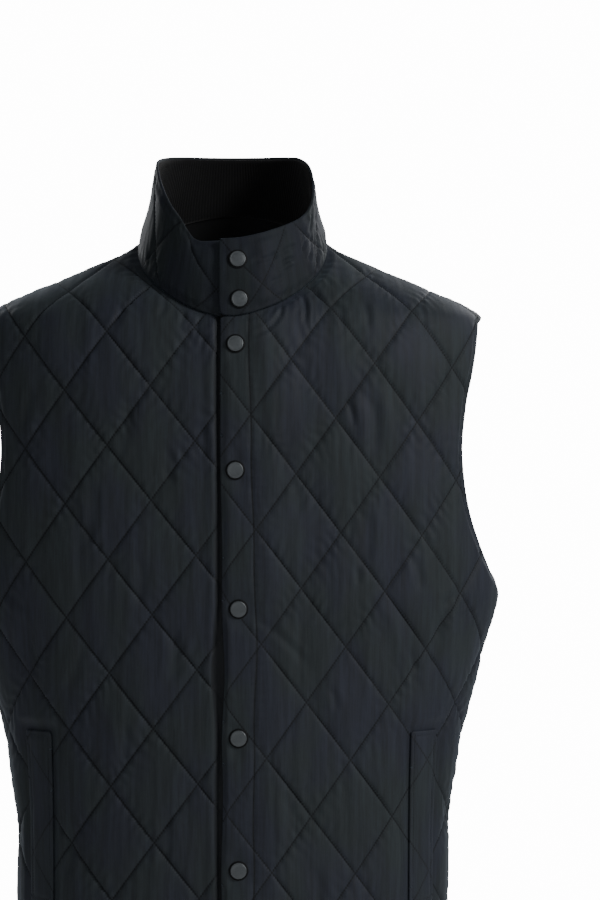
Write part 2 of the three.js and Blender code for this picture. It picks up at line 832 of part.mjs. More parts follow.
// The quilted shell folds over the facing along the top edge
function collar() {
  const columns = collarColumns(0);
  const foldLow = collarHeight - collarRim;
  const rows = [...linesBetween(collarGrid.v, diamondHigh, 0, foldLow - foldStep), foldLow, collarHeight];
  const [start, end] = [columns[0], columns[columns.length - 1]];
  const outline = [[start, 0], [end, 0], [end, collarHeight], [start, collarHeight]];
  const behind = (t) => (t < foldLow ? facingThickness + seamGap : 0);
  const inner = (s, t) => overlapLiftAt(s) + behind(t);
  const outer = (s, t) => overlapLiftAt(s) + collarOuter(outline, s, t);
  const flat = bandSolid(collarGrid, columns, rows, inner, outer);
  return named('collar', wrapped(flat, collarForm), shellLook);
}

function collarFacing() {
  const top = collarHeight - collarRim - foldStep - seamGap;
  const rows = linesBetween(collarGrid.v, diamondHigh, seamGap, top);
  const outer = (s) => overlapLiftAt(s) + facingThickness;
  const flat = bandSolid(collarGrid, collarColumns(collarRim), rows, overlapLiftAt, outer);
  return named('collar_facing', wrapped(flat, collarForm), corduroyLook);
}

// Snaps

function snapGeometry() {
  const profile = [
    [0, 0],
    [snapRadius, 0],
    [snapRadius, snapRimHigh],
    [snapDomeRadius, snapHigh],
    [0, snapHigh],
  ].map(([x, y]) => new THREE.Vector2(x, y));
  return new THREE.LatheGeometry(profile, snapSides);
}

function snapOn(name, form, u, v, w) {
  const cap = named(name, snapGeometry(), snapLook);
  const seat = form.place(u, v, w);
  const out = form.place(u, v, w + 1).sub(seat).normalize();
  cap.position.copy(seat);
  cap.quaternion.setFromUnitVectors(new THREE.Vector3(0, 1, 0), out);
  return cap;
}

function snaps() {
  const seat = overlapLift + clothThickness + seamGap;
  const front = frontSnapPlaces().map(([u, v], k) => snapOn(`snap_front_${k + 1}`, frontForm, u, v, seat));
  const lining = facingThickness + seamGap;
  const upper = collarSnapPlaces()
    .map(([s, t], k) => snapOn(`snap_collar_${k + 1}`, collarForm, s, t, seat + lining));
  return [...upper, ...front];
}

const vest = new THREE.Group();
vest.name = 'vest';
vest.add(frontPanel(1), frontPanel(-1), backPanel());
vest.add(collar(), collarFacing());
vest.add(pocketWelt(1), pocketWelt(-1));
vest.add(...snaps());

export default vest;
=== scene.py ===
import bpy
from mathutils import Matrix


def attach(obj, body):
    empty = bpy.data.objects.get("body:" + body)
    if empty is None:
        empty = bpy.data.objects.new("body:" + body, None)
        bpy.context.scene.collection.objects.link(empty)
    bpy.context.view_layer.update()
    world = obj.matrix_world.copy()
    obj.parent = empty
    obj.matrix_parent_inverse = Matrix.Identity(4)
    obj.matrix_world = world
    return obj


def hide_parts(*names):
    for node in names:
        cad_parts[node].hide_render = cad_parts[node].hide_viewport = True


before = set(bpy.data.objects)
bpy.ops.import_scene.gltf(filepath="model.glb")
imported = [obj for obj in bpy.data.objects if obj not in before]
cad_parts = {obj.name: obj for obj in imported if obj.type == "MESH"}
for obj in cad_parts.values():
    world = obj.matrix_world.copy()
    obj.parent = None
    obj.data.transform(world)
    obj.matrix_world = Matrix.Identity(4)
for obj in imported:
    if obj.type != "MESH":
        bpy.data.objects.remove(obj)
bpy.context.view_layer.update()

import math

import bpy
import numpy as np
from mathutils import Vector

# A diamond-quilted vest with a stand collar and a row of snaps, in its worn shape with no
# wearer. The cloth is worked out in millimetres in its own flat u and v, as the solids are,
# then wrapped round the worn form, with w counted outwards. Meshes are made in metres.

MM = 0.001
BODY = "root"


def table(columns, rows):
    """Rows of numbers under named columns."""
    return np.array(rows, dtype=[(name, float) for name in columns.split()])


# Cloth
CLOTH_THICKNESS = 2.4
PUFF = 4.0
COLLAR_PUFF = 2.1
COLLAR_CRUMPLE = 0.7
FACING_THICKNESS = 1.2
SEAM_GAP = 0.3
EDGE_ROUND = 1.3
COLLAR_EDGE_ROUND = 1.6
WELT_EDGE_ROUND = 1.0
EDGE_FLAT = 1.5
EDGE_RISE = 9.0
PILLOW_POWER = 0.5

# Seeds of each panel's noise
LEFT_SEED = 100
RIGHT_SEED = 200
BACK_SEED = 300
COLLAR_SEED = 400

# Quilting
DIAMOND_WIDE = 83.0
LEFT_DIAMOND_WIDE = 79.5
DIAMOND_HIGH = 107.0
FRONT_CELLS = 46
BACK_CELLS = 34
COLLAR_CELLS = 46

# Front closing
OVERLAP_EDGE = -9.5
UNDER_EDGE = 20.0
PLACKET_WIDTH = 28.5
OVERLAP_LIFT = 5.2
LIFT_ENDS = 75.0
UNDER_PUFF = 0.35

# The groove in the under panel beside the placket's free edge, the shade painted beside that
# edge where its shadow falls, the roll next to it, and the placket's own edge, which is pressed
# down and drawn back a little
SLOT_DEEP = 1.6
SLOT_SIDE = 2.0
SLOT_TO = -8.0
SLOT_ENDS_WIDE = 6.0
SLOT_SHADE_IN = 1.0
SLOT_FADE = 0.35
SLOT_ROLL = 1.4
SLOT_ROLL_IN = 4.0
SLOT_ROLL_WIDE = 5.0
UNDER_FADE_FROM = 3.0
UNDER_FADE_TO = 1.0
EDGE_PRESSED = 1.5
EDGE_PRESSED_WIDE = 6.5
EDGE_DRIFT_FADES = -0.5

# Heights
HEM = -680.0
ARMPIT = -332.0
SHOULDER_TIP = -69.5
SHOULDER_NECK = -3.0

# Collar. Its top leans to the wearer's left at the sides, and a little to the right in front.
COLLAR_HEIGHT = 72.0
COLLAR_TOP_HALF_WIDTH = 72.7
COLLAR_TOP_LEANS = 2.5
COLLAR_FRONT_LEANS = -2.0
COLLAR_TOP_HALF_DEPTH = 68.0
COLLAR_TOP_CENTRE = -14.0
COLLAR_BULGE = 2.5
COLLAR_SIDE_BULGE = -4.0
COLLAR_RAISE = 1.5
NECK_HALF_WIDTH = 88.5
NECK_HALF_DEPTH = 80.5
NECK_CENTRE = -15.0
NECK_BLEND = 14.0

# Snaps
COLLAR_SNAP_ACROSS = 7.5
# The wadding is pressed flat up to the first radius round a snap and is full from the second
SNAP_PRESSED = 9.0
SNAP_PRESSED_TO = 24.0
SNAP_PULL = 0.35
# Front snaps: places across the placket and heights
FRONT_SNAPS = np.array([(4.5, -100.5), (4.5, -217.0), (7.5, -346.0), (7.5, -467.0), (7.5, -591.0)])
COLLAR_SNAP_RISES = [15.5, 51.5]

# Side pockets
WELT_WIDE = 31.0
WELT_TALL = 165.0
WELT_THICKNESS = 2.0
WELT_SLACK = 0.2
WELT_ACROSS = 174.0
WELT_TOP = -464.0
WELT_MARGIN = 12.0
WELT_CROWN = 0.7
WELT_GROOVE = 0.45
WELT_GROOVE_WIDE = 1.3
WELT_STITCH_IN = 4.0
WELT_SOFT = 0.35
WELT_SEED = 510

# Sewing
STITCH_PITCH = 2.8
STITCH_LENGTH = 2.1
STITCH_WIDE = 0.42
STITCH_SIDES = 5
STITCH_RINGS = 4
STITCH_TILT = 0.16
STITCH_SEED = 11
STITCH_STANDS = 0.3
EDGE_STITCH_IN = 6.0
PANEL_STITCH_MARGIN = 3.0
PLACKET_STITCH_ABOVE_HEM = 8.0
PLACKET_STITCH_BELOW_NECK = 3.0
COLLAR_STITCH_MARGIN = 4.0

# Corduroy
WALE_PITCH = 2.9
WALE_HIGH = 0.55
WALE_COLUMNS = 6
WALE_ROUND = 0.7

# The worn form's level rings: height, half width, depth before and behind, squareness
RINGS = table("z half front back power", [
    (40, 60, 10, 62, 2),
    (22, 76, 12, 72, 2),
    (0, 90, 22, 80, 2),
    (-27, 143, 50, 88, 2.05),
    (-50, 198, 75, 93, 2.1),
    (-62, 225, 86, 95, 2.1),
    (-74, 242, 95, 97, 2.1),
    (-90, 247, 102, 99, 2.1),
    (-120, 250, 109, 101, 2.1),
    (-170, 251, 113, 104, 2.1),
    (-240, 252, 115, 103, 2.1),
    (-332, 253, 115, 98, 2.1),
    (-358, 248, 114, 96, 2.1),
    (-387, 238.5, 113, 94, 2.1),
    (-445, 222, 112, 91, 2.15),
    (-503, 210.5, 111, 91, 2.15),
    (-560, 204, 111, 94, 2.2),
    (-640, 203, 113, 99, 2.2),
    (-720, 205, 114, 104, 2.2),
])

# The armhole's edge from the front: half width at each height
ARMHOLE = table("z half", [
    (-76, 235),
    (-100, 232.5),
    (-125, 228.5),
    (-154, 222.5),
    (-198, 218.5),
    (-227, 220.5),
    (-256, 225.5),
    (-285, 234.5),
    (-314, 246),
])

# The collar's top edge: its height at each turn in degrees from the centre front, towards the
# wearer's left
COLLAR_TOP = table("turn height", [
    (-180, 88),
    (-150, 88),
    (-130, 87),
    (-110, 84),
    (-90, 78),
    (-78, 69),
    (-71, 60),
    (-63, 50),
    (-52, 35),
    (-40, 20),
    (-33, 8),
    (-27, 0),
    (-19, -3),
    (0, -2),
    (8, -1),
    (18, 2),
    (29, 7),
    (41, 13),
    (57, 21),
    (72, 32),
    (90, 53),
    (102, 70),
    (114, 81),
    (130, 87),
    (150, 88),
    (180, 88),
])

# Quilting grids: a crossing's flat place, and how far the lines lean and droop
LEFT_GRID = dict(
    u=OVERLAP_EDGE + PLACKET_WIDTH, v=167.0, wide=LEFT_DIAMOND_WIDE, lean=-0.045, droop=-0.042)
RIGHT_GRID = dict(u=8.0, v=198.0, wide=DIAMOND_WIDE, lean=-0.009, droop=0.045)
BACK_GRID = dict(u=0.0, v=180.0, wide=DIAMOND_WIDE, lean=0.0, droop=0.0)
COLLAR_GRID = dict(u=28.0, v=25.0, wide=DIAMOND_WIDE, lean=0.0, droop=0.0)

# The placket's stitch line: how far across it is at each flat height
PLACKET_LINE = table("v u", [
    (-360, 21.5),
    (-141, 21.8),
    (-56, 24.2),
    (60, 21.2),
    (231, 17.3),
    (270, 16.6),
])

# Where the groove beside the placket's free edge starts, and how far that edge is drawn back,
# at each flat height
SLOT_START = table("v start", [
    (-390, -13.4),
    (-300, -12.8),
    (-200, -13.6),
    (-137, -12.8),
    (-103, -14.6),
    (-75, -16.6),
    (-47, -15.2),
    (-9, -12.8),
    (104, -12.8),
    (190, -13.8),
    (330, -12.8),
])
EDGE_DRIFT = table("v drift", [
    (-390, 1.0),
    (-330, 2.0),
    (-260, 1.0),
    (-190, 2.6),
    (-137, 1.6),
    (-103, 3.0),
    (-75, 4.2),
    (-47, 3.2),
    (-9, 1.5),
    (29, 1.8),
    (76, 1.2),
    (104, 0.3),
    (180, 0.0),
    (330, 0.0),
])


# Curves, masks and noise

def smoothstep(x, low, high):
    t = np.clip((x - low) / (high - low), 0.0, 1.0)
    return t * t * (3.0 - 2.0 * t)


def table_curve(rows, key, along="z"):
    """A smooth curve through a table's rows that never overshoots them."""
    order = np.argsort(rows[along])
    xs = rows[along][order]
    ys = rows[key][order]
    slopes = np.diff(ys) / np.diff(xs)
    tangents = np.zeros(len(xs))
    tangents[0] = slopes[0]
    tangents[-1] = slopes[-1]
    product = slopes[:-1] * slopes[1:]
    total = np.where(slopes[:-1] + slopes[1:] == 0, 1.0, slopes[:-1] + slopes[1:])
    tangents[1:-1] = np.where(product > 0, 2.0 * product / total, 0.0)

    def at(z):
        x = np.clip(z, xs[0], xs[-1])
        i = np.clip(np.searchsorted(xs, x) - 1, 0, len(xs) - 2)
        h = xs[i + 1] - xs[i]
        t = (x - xs[i]) / h
        near = (1 + 2 * t) * (1 - t) ** 2 * ys[i] + h * t * (1 - t) ** 2 * tangents[i]
        far = t * t * (3 - 2 * t) * ys[i + 1] + h * t * t * (t - 1) * tangents[i + 1]
        return near + far

    return at


def travelled(points):
    """How far along a line of points each one lies."""
    steps = np.linalg.norm(np.diff(points, axis=0), axis=1)
    return np.concatenate([[0.0], np.cumsum(steps)])


def read_between(values, row, column):
    """A grid's values between its rows and columns."""
    row = np.clip(row, 0, values.shape[0] - 1.001)
    column = np.clip(column, 0, values.shape[1] - 1.001)
    i, j = row.astype(int), column.astype(int)
    shape = (-1,) + (1,) * (values.ndim - 2)
    a, b = (row - i).reshape(shape), (column - j).reshape(shape)
    low = values[i, j] * (1 - b) + values[i, j + 1] * b
    high = values[i + 1, j] * (1 - b) + values[i + 1, j + 1] * b
    return low * (1 - a) + high * a


class Noise:
    """Smooth repeatable noise over a plane, about -1 to 1."""

    SIZE = 256
    ROUGH_MOST = 1.6

    def __init__(self, seed):
        self.values = np.random.default_rng(seed).uniform(-1.0, 1.0, (self.SIZE, self.SIZE))

    def __call__(self, x, y):
        i = np.floor(x).astype(int)
        j = np.floor(y).astype(int)
        a = smoothstep(x - i, 0.0, 1.0)
        b = smoothstep(y - j, 0.0, 1.0)
        v = self.values
        n = self.SIZE
        low = v[i % n, j % n] * (1 - a) + v[(i + 1) % n, j % n] * a
        high = v[i % n, (j + 1) % n] * (1 - a) + v[(i + 1) % n, (j + 1) % n] * a
        return low * (1 - b) + high * b

    def rough(self, x, y, rounds):
        total = np.zeros(np.shape(x))
        for k in range(rounds):
            total += self(x * 2 ** k + 17.0 * k, y * 2 ** k + 31.0 * k) / 2 ** k
        return total / self.ROUGH_MOST


# The worn form

half_at = table_curve(RINGS, "half")
front_at = table_curve(RINGS, "front")
back_at = table_curve(RINGS, "back")
power_at = table_curve(RINGS, "power")
armhole_half = table_curve(ARMHOLE, "half")
collar_top_height = table_curve(COLLAR_TOP, "height", "turn")


class WornForm:
    """Half of the worn form. It turns the cloth's flat u and v into places: u runs level round
    the form from its middle line, v runs up from the armpit."""

    TOP = 36.0
    BOTTOM = -716.0
    REACH = 440.0
    STEP = 1.0
    TURNS = 1440
    NORMAL_STEP = 4.0
    QUARTER_POINTS = 721

    def __init__(self, facing):
        self.facing = facing
        zs = np.arange(self.TOP, self.BOTTOM - self.STEP / 2, -self.STEP)
        us = np.arange(0.0, self.REACH + self.STEP / 2, self.STEP)
        angles = np.linspace(0.0, math.pi, self.TURNS + 1)
        rings = np.zeros((len(zs), len(us), 3))
        for k, z in enumerate(zs):
            x, y = self.ring(z, angles)
            lengths = np.concatenate([[0.0], np.cumsum(np.hypot(np.diff(x), np.diff(y)))])
            rings[k, :, 0] = np.interp(us, lengths, x)
            rings[k, :, 1] = np.interp(us, lengths, y)
            rings[k, :, 2] = z
        steps = np.linalg.norm(np.diff(rings, axis=0), axis=2)
        rise = np.concatenate([np.zeros((1, len(us))), -np.cumsum(steps, axis=0)], axis=0)
        armpit = np.array([np.interp(-ARMPIT, -zs, rise[:, c]) for c in range(len(us))])
        self.rise = rise - armpit
        self.vs = np.arange(math.floor(self.rise.min()), self.rise.max() + self.STEP, self.STEP)
        self.places = np.zeros((len(self.vs), len(us), 3))
        for c in range(len(us)):
            known = self.rise[::-1, c]
            for axis in range(3):
                self.places[:, c, axis] = np.interp(self.vs, known, rings[::-1, c, axis])

    def ring(self, z, angles):
        power = power_at(z)
        before, behind = front_at(z), back_at(z)
        if self.facing == "back":
            before, behind = behind, before
        x = half_at(z) * np.abs(np.sin(angles)) ** (2 / power)
        ahead = angles < math.pi / 2
        y = np.where(ahead, -before, behind) * np.abs(np.cos(angles)) ** (2 / power)
        return x, -y if self.facing == "back" else y

    def on_form(self, u, v):
        point = read_between(self.places, (v - self.vs[0]) / self.STEP, np.abs(u) / self.STEP)
        point[:, 0] *= np.where(u < 0, -1.0, 1.0)
        return point

    def normal(self, u, v):
        n = self.NORMAL_STEP
        across = self.on_form(u + n, v) - self.on_form(u - n, v)
        up = self.on_form(u, v + n) - self.on_form(u, v - n)
        out = np.cross(across, up)
        out /= np.linalg.norm(out, axis=1)[:, None]
        return out if self.facing == "front" else -out

    def flat_height(self, u, z):
        """The flat v of a height z on the column u."""
        return read_between(self.rise, (self.TOP - z) / self.STEP, np.abs(u) / self.STEP)

    def flat_of(self, x, z):
        """The flat place of a point seen at x and z on the outward-facing half."""
        x, z = np.atleast_1d(x).astype(float), np.atleast_1d(z).astype(float)
        u = np.zeros(len(x))
        quarter = np.linspace(0.0, math.pi / 2, self.QUARTER_POINTS)
        for k in range(len(x)):
            xs, ys = self.ring(z[k], quarter)
            lengths = np.concatenate([[0.0], np.cumsum(np.hypot(np.diff(xs), np.diff(ys)))])
            u[k] = np.interp(abs(x[k]), xs, lengths)
        v = self.flat_height(u, z)
        return np.stack([np.where(x < 0, -u, u), v], axis=1)

    def seam(self, z):
        return self.flat_of(half_at(z), z)

    def place(self, u, v, w):
        """A point of the cloth. Near the neck its edge leans to meet the collar's edge."""
        point = self.on_form(u, v)
        normal = self.normal(u, v)
        away, mitre = neck_seam.nearest(point)
        share = (1.0 - smoothstep(away, 0.0, NECK_BLEND))[:, None]
        lean = mitre / np.sum(mitre * normal, axis=1)[:, None]
        normal = normal * (1 - share) + lean * share
        return point + normal * np.asarray(w)[:, None]


LOWEST_NECK = -150.0
HALVINGS = 40


def form_height(x, y):
    """The height at which the worn form passes through points of the plan."""
    x, y = np.asarray(x, float), np.asarray(y, float)
    high = np.full(x.shape, WornForm.TOP)
    low = np.full(x.shape, LOWEST_NECK)
    for _ in range(HALVINGS):
        z = (high + low) / 2
        depth = np.where(y < 0, front_at(z), back_at(z))
        reach = (np.abs(x) / half_at(z)) ** power_at(z) + (np.abs(y) / depth) ** power_at(z)
        high = np.where(reach > 1, z, high)
        low = np.where(reach > 1, low, z)
    return (high + low) / 2


def unit(vectors):
    return vectors / np.linalg.norm(vectors, axis=-1, keepdims=True)


class NeckSeam:
    """The seam between the panels and the collar, an oval in plan, from the centre front."""

    ROWS = 720
    SLOPE_STEP = 1.5

    def plan(self, angle):
        x = NECK_HALF_WIDTH * np.sin(angle)
        y = NECK_CENTRE - NECK_HALF_DEPTH * np.cos(angle)
        return x, y

    def __init__(self):
        self.angles = np.linspace(0.0, math.pi, self.ROWS + 1)
        x, y = self.plan(self.angles)
        d = self.SLOPE_STEP
        self.heights = form_height(x, y)
        slope_x = (form_height(x + d, y) - form_height(x - d, y)) / (2 * d)
        slope_y = (form_height(x, y + d) - form_height(x, y - d)) / (2 * d)
        self.normals = unit(np.stack([-slope_x, -slope_y, np.ones_like(slope_x)], axis=-1))

    def half_turn(self, angle):
        """The angle on the wearer's left half, and which side it came from."""
        turned = (np.asarray(angle) + math.pi) % (2 * math.pi) - math.pi
        return np.abs(turned), np.where(turned < 0, -1.0, 1.0)

    def point(self, angle):
        x, y = self.plan(angle)
        half, _ = self.half_turn(angle)
        return np.stack([x, y, np.interp(half, self.angles, self.heights)], axis=-1)

    def form_normal(self, angle):
        half, side = self.half_turn(angle)
        rows = [np.interp(half, self.angles, self.normals[:, axis]) for axis in range(3)]
        rows[0] = rows[0] * side
        return unit(np.stack(rows, axis=-1))

    def prepare(self):
        angles = np.linspace(-math.pi, math.pi, 2 * self.ROWS + 1)
        self.points = self.point(angles)
        self.mitres = unit(self.form_normal(angles) + collar_form.seam_normal(angles))

    def nearest(self, point):
        angle = np.arctan2(
            point[:, 0] / NECK_HALF_WIDTH,
            (NECK_CENTRE - point[:, 1]) / NECK_HALF_DEPTH,
        )
        row = np.round((angle / math.pi + 1) * self.ROWS).astype(int)
        return np.linalg.norm(point - self.points[row], axis=1), self.mitres[row]


class CollarForm:
    """The collar's form, from the neck seam to its top edge. Flat s runs from the centre front
    round the wearer's left side, t runs up from the seam."""

    TURN = 0.02
    LIFT = 0.05
    ROWS = 1440
    FRONT_FROM = -90.0
    FRONT_TO = 150.0
    FRONT_STEP = 2.0
    OUTER_FACE = 4.0

    def top_point(self, angle):
        turn = np.degrees(np.arctan2(np.sin(angle), np.cos(angle)))
        front = np.maximum(np.cos(angle), 0.0)
        leans = COLLAR_TOP_LEANS * np.sin(angle) ** 2 + COLLAR_FRONT_LEANS * front ** 2
        x = COLLAR_TOP_HALF_WIDTH * np.sin(angle) + leans
        y = COLLAR_TOP_CENTRE - COLLAR_TOP_HALF_DEPTH * np.cos(angle)
        return np.stack([x, y, collar_top_height(turn)], axis=-1)

    def raw(self, angle, share):
        share = np.asarray(share)[..., None]
        point = neck_seam.point(angle) * (1 - share) + self.top_point(angle) * share
        side = np.sin(angle) ** 2
        most = COLLAR_BULGE * (1 - side) + COLLAR_SIDE_BULGE * side
        bulge = most * np.sin(math.pi * np.clip(share[..., 0], 0, 1))
        point[..., 0] += bulge * np.sin(angle)
        point[..., 1] -= bulge * np.cos(angle)
        return point

    def raw_normal(self, angle, share):
        across = self.raw(angle + self.TURN, share) - self.raw(angle - self.TURN, share)
        up = self.raw(angle, share + self.LIFT) - self.raw(angle, share - self.LIFT)
        return unit(np.cross(across, up))

    def seam_normal(self, angle):
        return self.raw_normal(angle, np.full(np.shape(angle), self.LIFT))

    def prepare(self):
        turns = np.arange(self.ROWS * 3 // 2 + 1)
        self.angles = -math.pi / 2 + 2 * math.pi * turns / self.ROWS
        points = self.raw(self.angles, np.full(len(turns), 0.5))
        lengths = travelled(points)
        self.lengths = lengths - lengths[self.ROWS // 4]
        self.around = self.lengths[self.ROWS // 4 + self.ROWS]

    def place(self, s, t, w):
        angle = np.interp(s, self.lengths, self.angles)
        share = np.asarray(t) / COLLAR_HEIGHT
        normal = self.raw_normal(angle, np.clip(share, self.LIFT, 1 - self.LIFT))
        low = (1.0 - smoothstep(t, 0.0, NECK_BLEND))[:, None]
        mitre = unit(neck_seam.form_normal(angle) + self.seam_normal(angle))
        lean = mitre / np.sum(mitre * normal, axis=1)[:, None]
        normal = normal * (1 - low) + lean * low
        point = self.raw(angle, share) + normal * np.asarray(w)[:, None]
        point[:, 2] += COLLAR_RAISE
        return point

    def flat_of(self, x, z):
        """The flat place of a point seen at x and z on the collar's front half."""
        around = np.arange(self.FRONT_FROM, self.FRONT_TO, self.FRONT_STEP)
        up = np.arange(0.0, COLLAR_HEIGHT, self.FRONT_STEP)
        s, t = (grid.ravel() for grid in np.meshgrid(around, up))
        seen = self.place(s, t, np.full(len(s), self.OUTER_FACE))
        found = []
        for at_x, at_z in zip(np.atleast_1d(x), np.atleast_1d(z)):
            k = np.argmin((seen[:, 0] - at_x) ** 2 + (seen[:, 2] - at_z) ** 2)
            found.append((s[k], t[k]))
        return np.array(found)


neck_seam = NeckSeam()
collar_form = CollarForm()
neck_seam.prepare()
collar_form.prepare()
front_form = WornForm("front")
back_form = WornForm("back")


# Flat outlines

SEAM_POINTS = 72
SHOULDER_POINTS = 20
ARMHOLE_POINTS = 60
SIDE_POINTS = 60
HEM_POINTS = 12
CLOSEST_POINTS = 0.5
SHOULDER_ANGLE = math.acos(NECK_CENTRE / NECK_HALF_DEPTH)
NECK, SHOULDER, ARMHOLE_EDGE, SIDE, HEM_EDGE, FRONT_EDGE, FREE_EDGE = range(7)


def of_kind(points, kind):
    """An outline's rows are u, v and the kind of edge that each starts."""
    return np.column_stack([points, np.full(len(points), float(kind))])


def neckline(form, start, end):
    points = neck_seam.point(np.linspace(start, end, SEAM_POINTS))
    return form.flat_of(points[:, 0], points[:, 2])


def armhole_line(form):
    heights = np.linspace(ARMHOLE["z"][0], ARMHOLE["z"][-1], ARMHOLE_POINTS)
    return form.flat_of(armhole_half(heights), heights)


def outer_edge(form):
    """Along the shoulder, round the armhole and down the side seam to the hem."""
    shoulder = form.seam(np.linspace(SHOULDER_NECK, SHOULDER_TIP, SHOULDER_POINTS))
    side = form.seam(np.linspace(ARMPIT, HEM, SIDE_POINTS))
    return [
        of_kind(shoulder, SHOULDER),
        of_kind(armhole_line(form), ARMHOLE_EDGE),
        of_kind(side, SIDE),
    ]


def hem_line(form, start, end):
    u = np.linspace(start, end, HEM_POINTS)
    return np.stack([u, form.flat_height(u, np.full(len(u), HEM))], axis=1)


def half_outline(form, neck, edge):
    rows = [of_kind(neck, NECK), *outer_edge(form)]
    rows.append(of_kind(hem_line(form, rows[-1][-1, 0], edge), HEM_EDGE))
    half = without_neighbours(np.concatenate(rows))
    half[-1, 2] = FRONT_EDGE
    return half


def mirrored(outline):
    """The outline's other hand, with each edge's kind kept."""
    turned = (outline * [-1, 1, 1])[::-1]
    turned[:, 2] = np.roll(turned[:, 2], -1)
    return turned


def front_outline(side, edge):
    neck = neckline(front_form, math.asin(edge / NECK_HALF_WIDTH), SHOULDER_ANGLE)
    neck[0, 0] = edge
    half = half_outline(front_form, neck, edge)
    return half if side > 0 else mirrored(half)


def back_outline():
    neck = neckline(back_form, math.pi, SHOULDER_ANGLE)
    neck[0, 0] = 0.0
    half = half_outline(back_form, neck, 0.0)
    half[-1, 2] = HEM_EDGE
    return np.concatenate([half, mirrored(half)[1:-1]])


def without_neighbours(outline):
    steps = np.linalg.norm((outline - np.roll(outline, 1, axis=0))[:, :2], axis=1)
    return outline[steps > CLOSEST_POINTS]


def rectangle(u0, v0, u1, v1):
    return of_kind(np.array([(u0, v0), (u1, v0), (u1, v1), (u0, v1)], float), FREE_EDGE)


def outline_area(outline):
    u, v = outline[:, 0], outline[:, 1]
    return abs(np.sum(u * np.roll(v, -1) - v * np.roll(u, -1))) / 2


class Outline:
    """Where flat places lie against a closed outline: how far inside, and beside which edge."""

    CHUNK = 4000
    ON_EDGE = 0.05

    def __init__(self, rows):
        points = rows[:, :2]
        self.kinds = rows[:, 2].astype(int)
        self.starts = points
        self.along = np.roll(points, -1, axis=0) - points
        self.lengths = np.linalg.norm(self.along, axis=1)
        self.travelled = np.concatenate([[0.0], np.cumsum(self.lengths)[:-1]])
        u, v = points[:, 0], points[:, 1]
        turning = np.sign(np.sum(u * np.roll(v, -1) - v * np.roll(u, -1)))
        direction = self.along / self.lengths[:, None]
        self.outward = np.stack([direction[:, 1], -direction[:, 0]], axis=1) * turning

    def measure(self, at):
        """Signed distance, outward direction, kind of the nearest edge and how far along it."""
        rows = [self.measure_part(at[k:k + self.CHUNK]) for k in range(0, len(at), self.CHUNK)]
        return [np.concatenate(column) for column in zip(*rows)]

    def measure_part(self, at):
        reach = at[:, None] - self.starts[None]
        t = np.clip(np.sum(reach * self.along[None], axis=2) / self.lengths ** 2, 0, 1)
        gap = reach - self.along[None] * t[..., None]
        away = np.linalg.norm(gap, axis=2)
        rows = np.arange(len(at))
        best = np.argmin(away, axis=1)
        from_v = reach[..., 1]
        to_v = from_v - self.along[None, :, 1]
        spans = (from_v < 0) != (to_v < 0)
        rise = np.where(self.along[:, 1] == 0, 1e-9, self.along[:, 1])
        crossing = from_v / rise * self.along[:, 0] - reach[..., 0]
        inside = np.sum(spans & (crossing > 0), axis=1) % 2 == 1
        sign = np.where(inside, 1.0, -1.0)
        distance = away[rows, best]
        direction = -gap[rows, best] * sign[:, None]
        near = distance < self.ON_EDGE
        direction[near] = self.outward[best[near]]
        direction = unit(direction)
        along = self.travelled[best] + t[rows, best] * self.lengths[best]
        return sign * distance, direction, self.kinds[best], along


# Quilting

def lattice_place(grid, u, v):
    """Where flat places lie in the grid, in diamonds across and up."""
    du, dv = u - grid["u"], v - grid["v"]
    twist = 1 - grid["lean"] * grid["droop"]
    return ((du - grid["lean"] * dv) / twist / grid["wide"],
            (dv - grid["droop"] * du) / twist / DIAMOND_HIGH)


def flat_place(grid, i, j):
    du, dv = i * grid["wide"], j * DIAMOND_HIGH
    return grid["u"] + du + grid["lean"] * dv, grid["v"] + dv + grid["droop"] * du


FAR_FROM_LINE = 100.0
LINE_GAP = DIAMOND_WIDE * DIAMOND_HIGH / math.hypot(DIAMOND_WIDE, DIAMOND_HIGH)


def from_line(share):
    """How far a place is from the nearest quilting line of one family, in millimetres."""
    part = share - np.floor(share)
    return np.minimum(part, 1 - part) * LINE_GAP


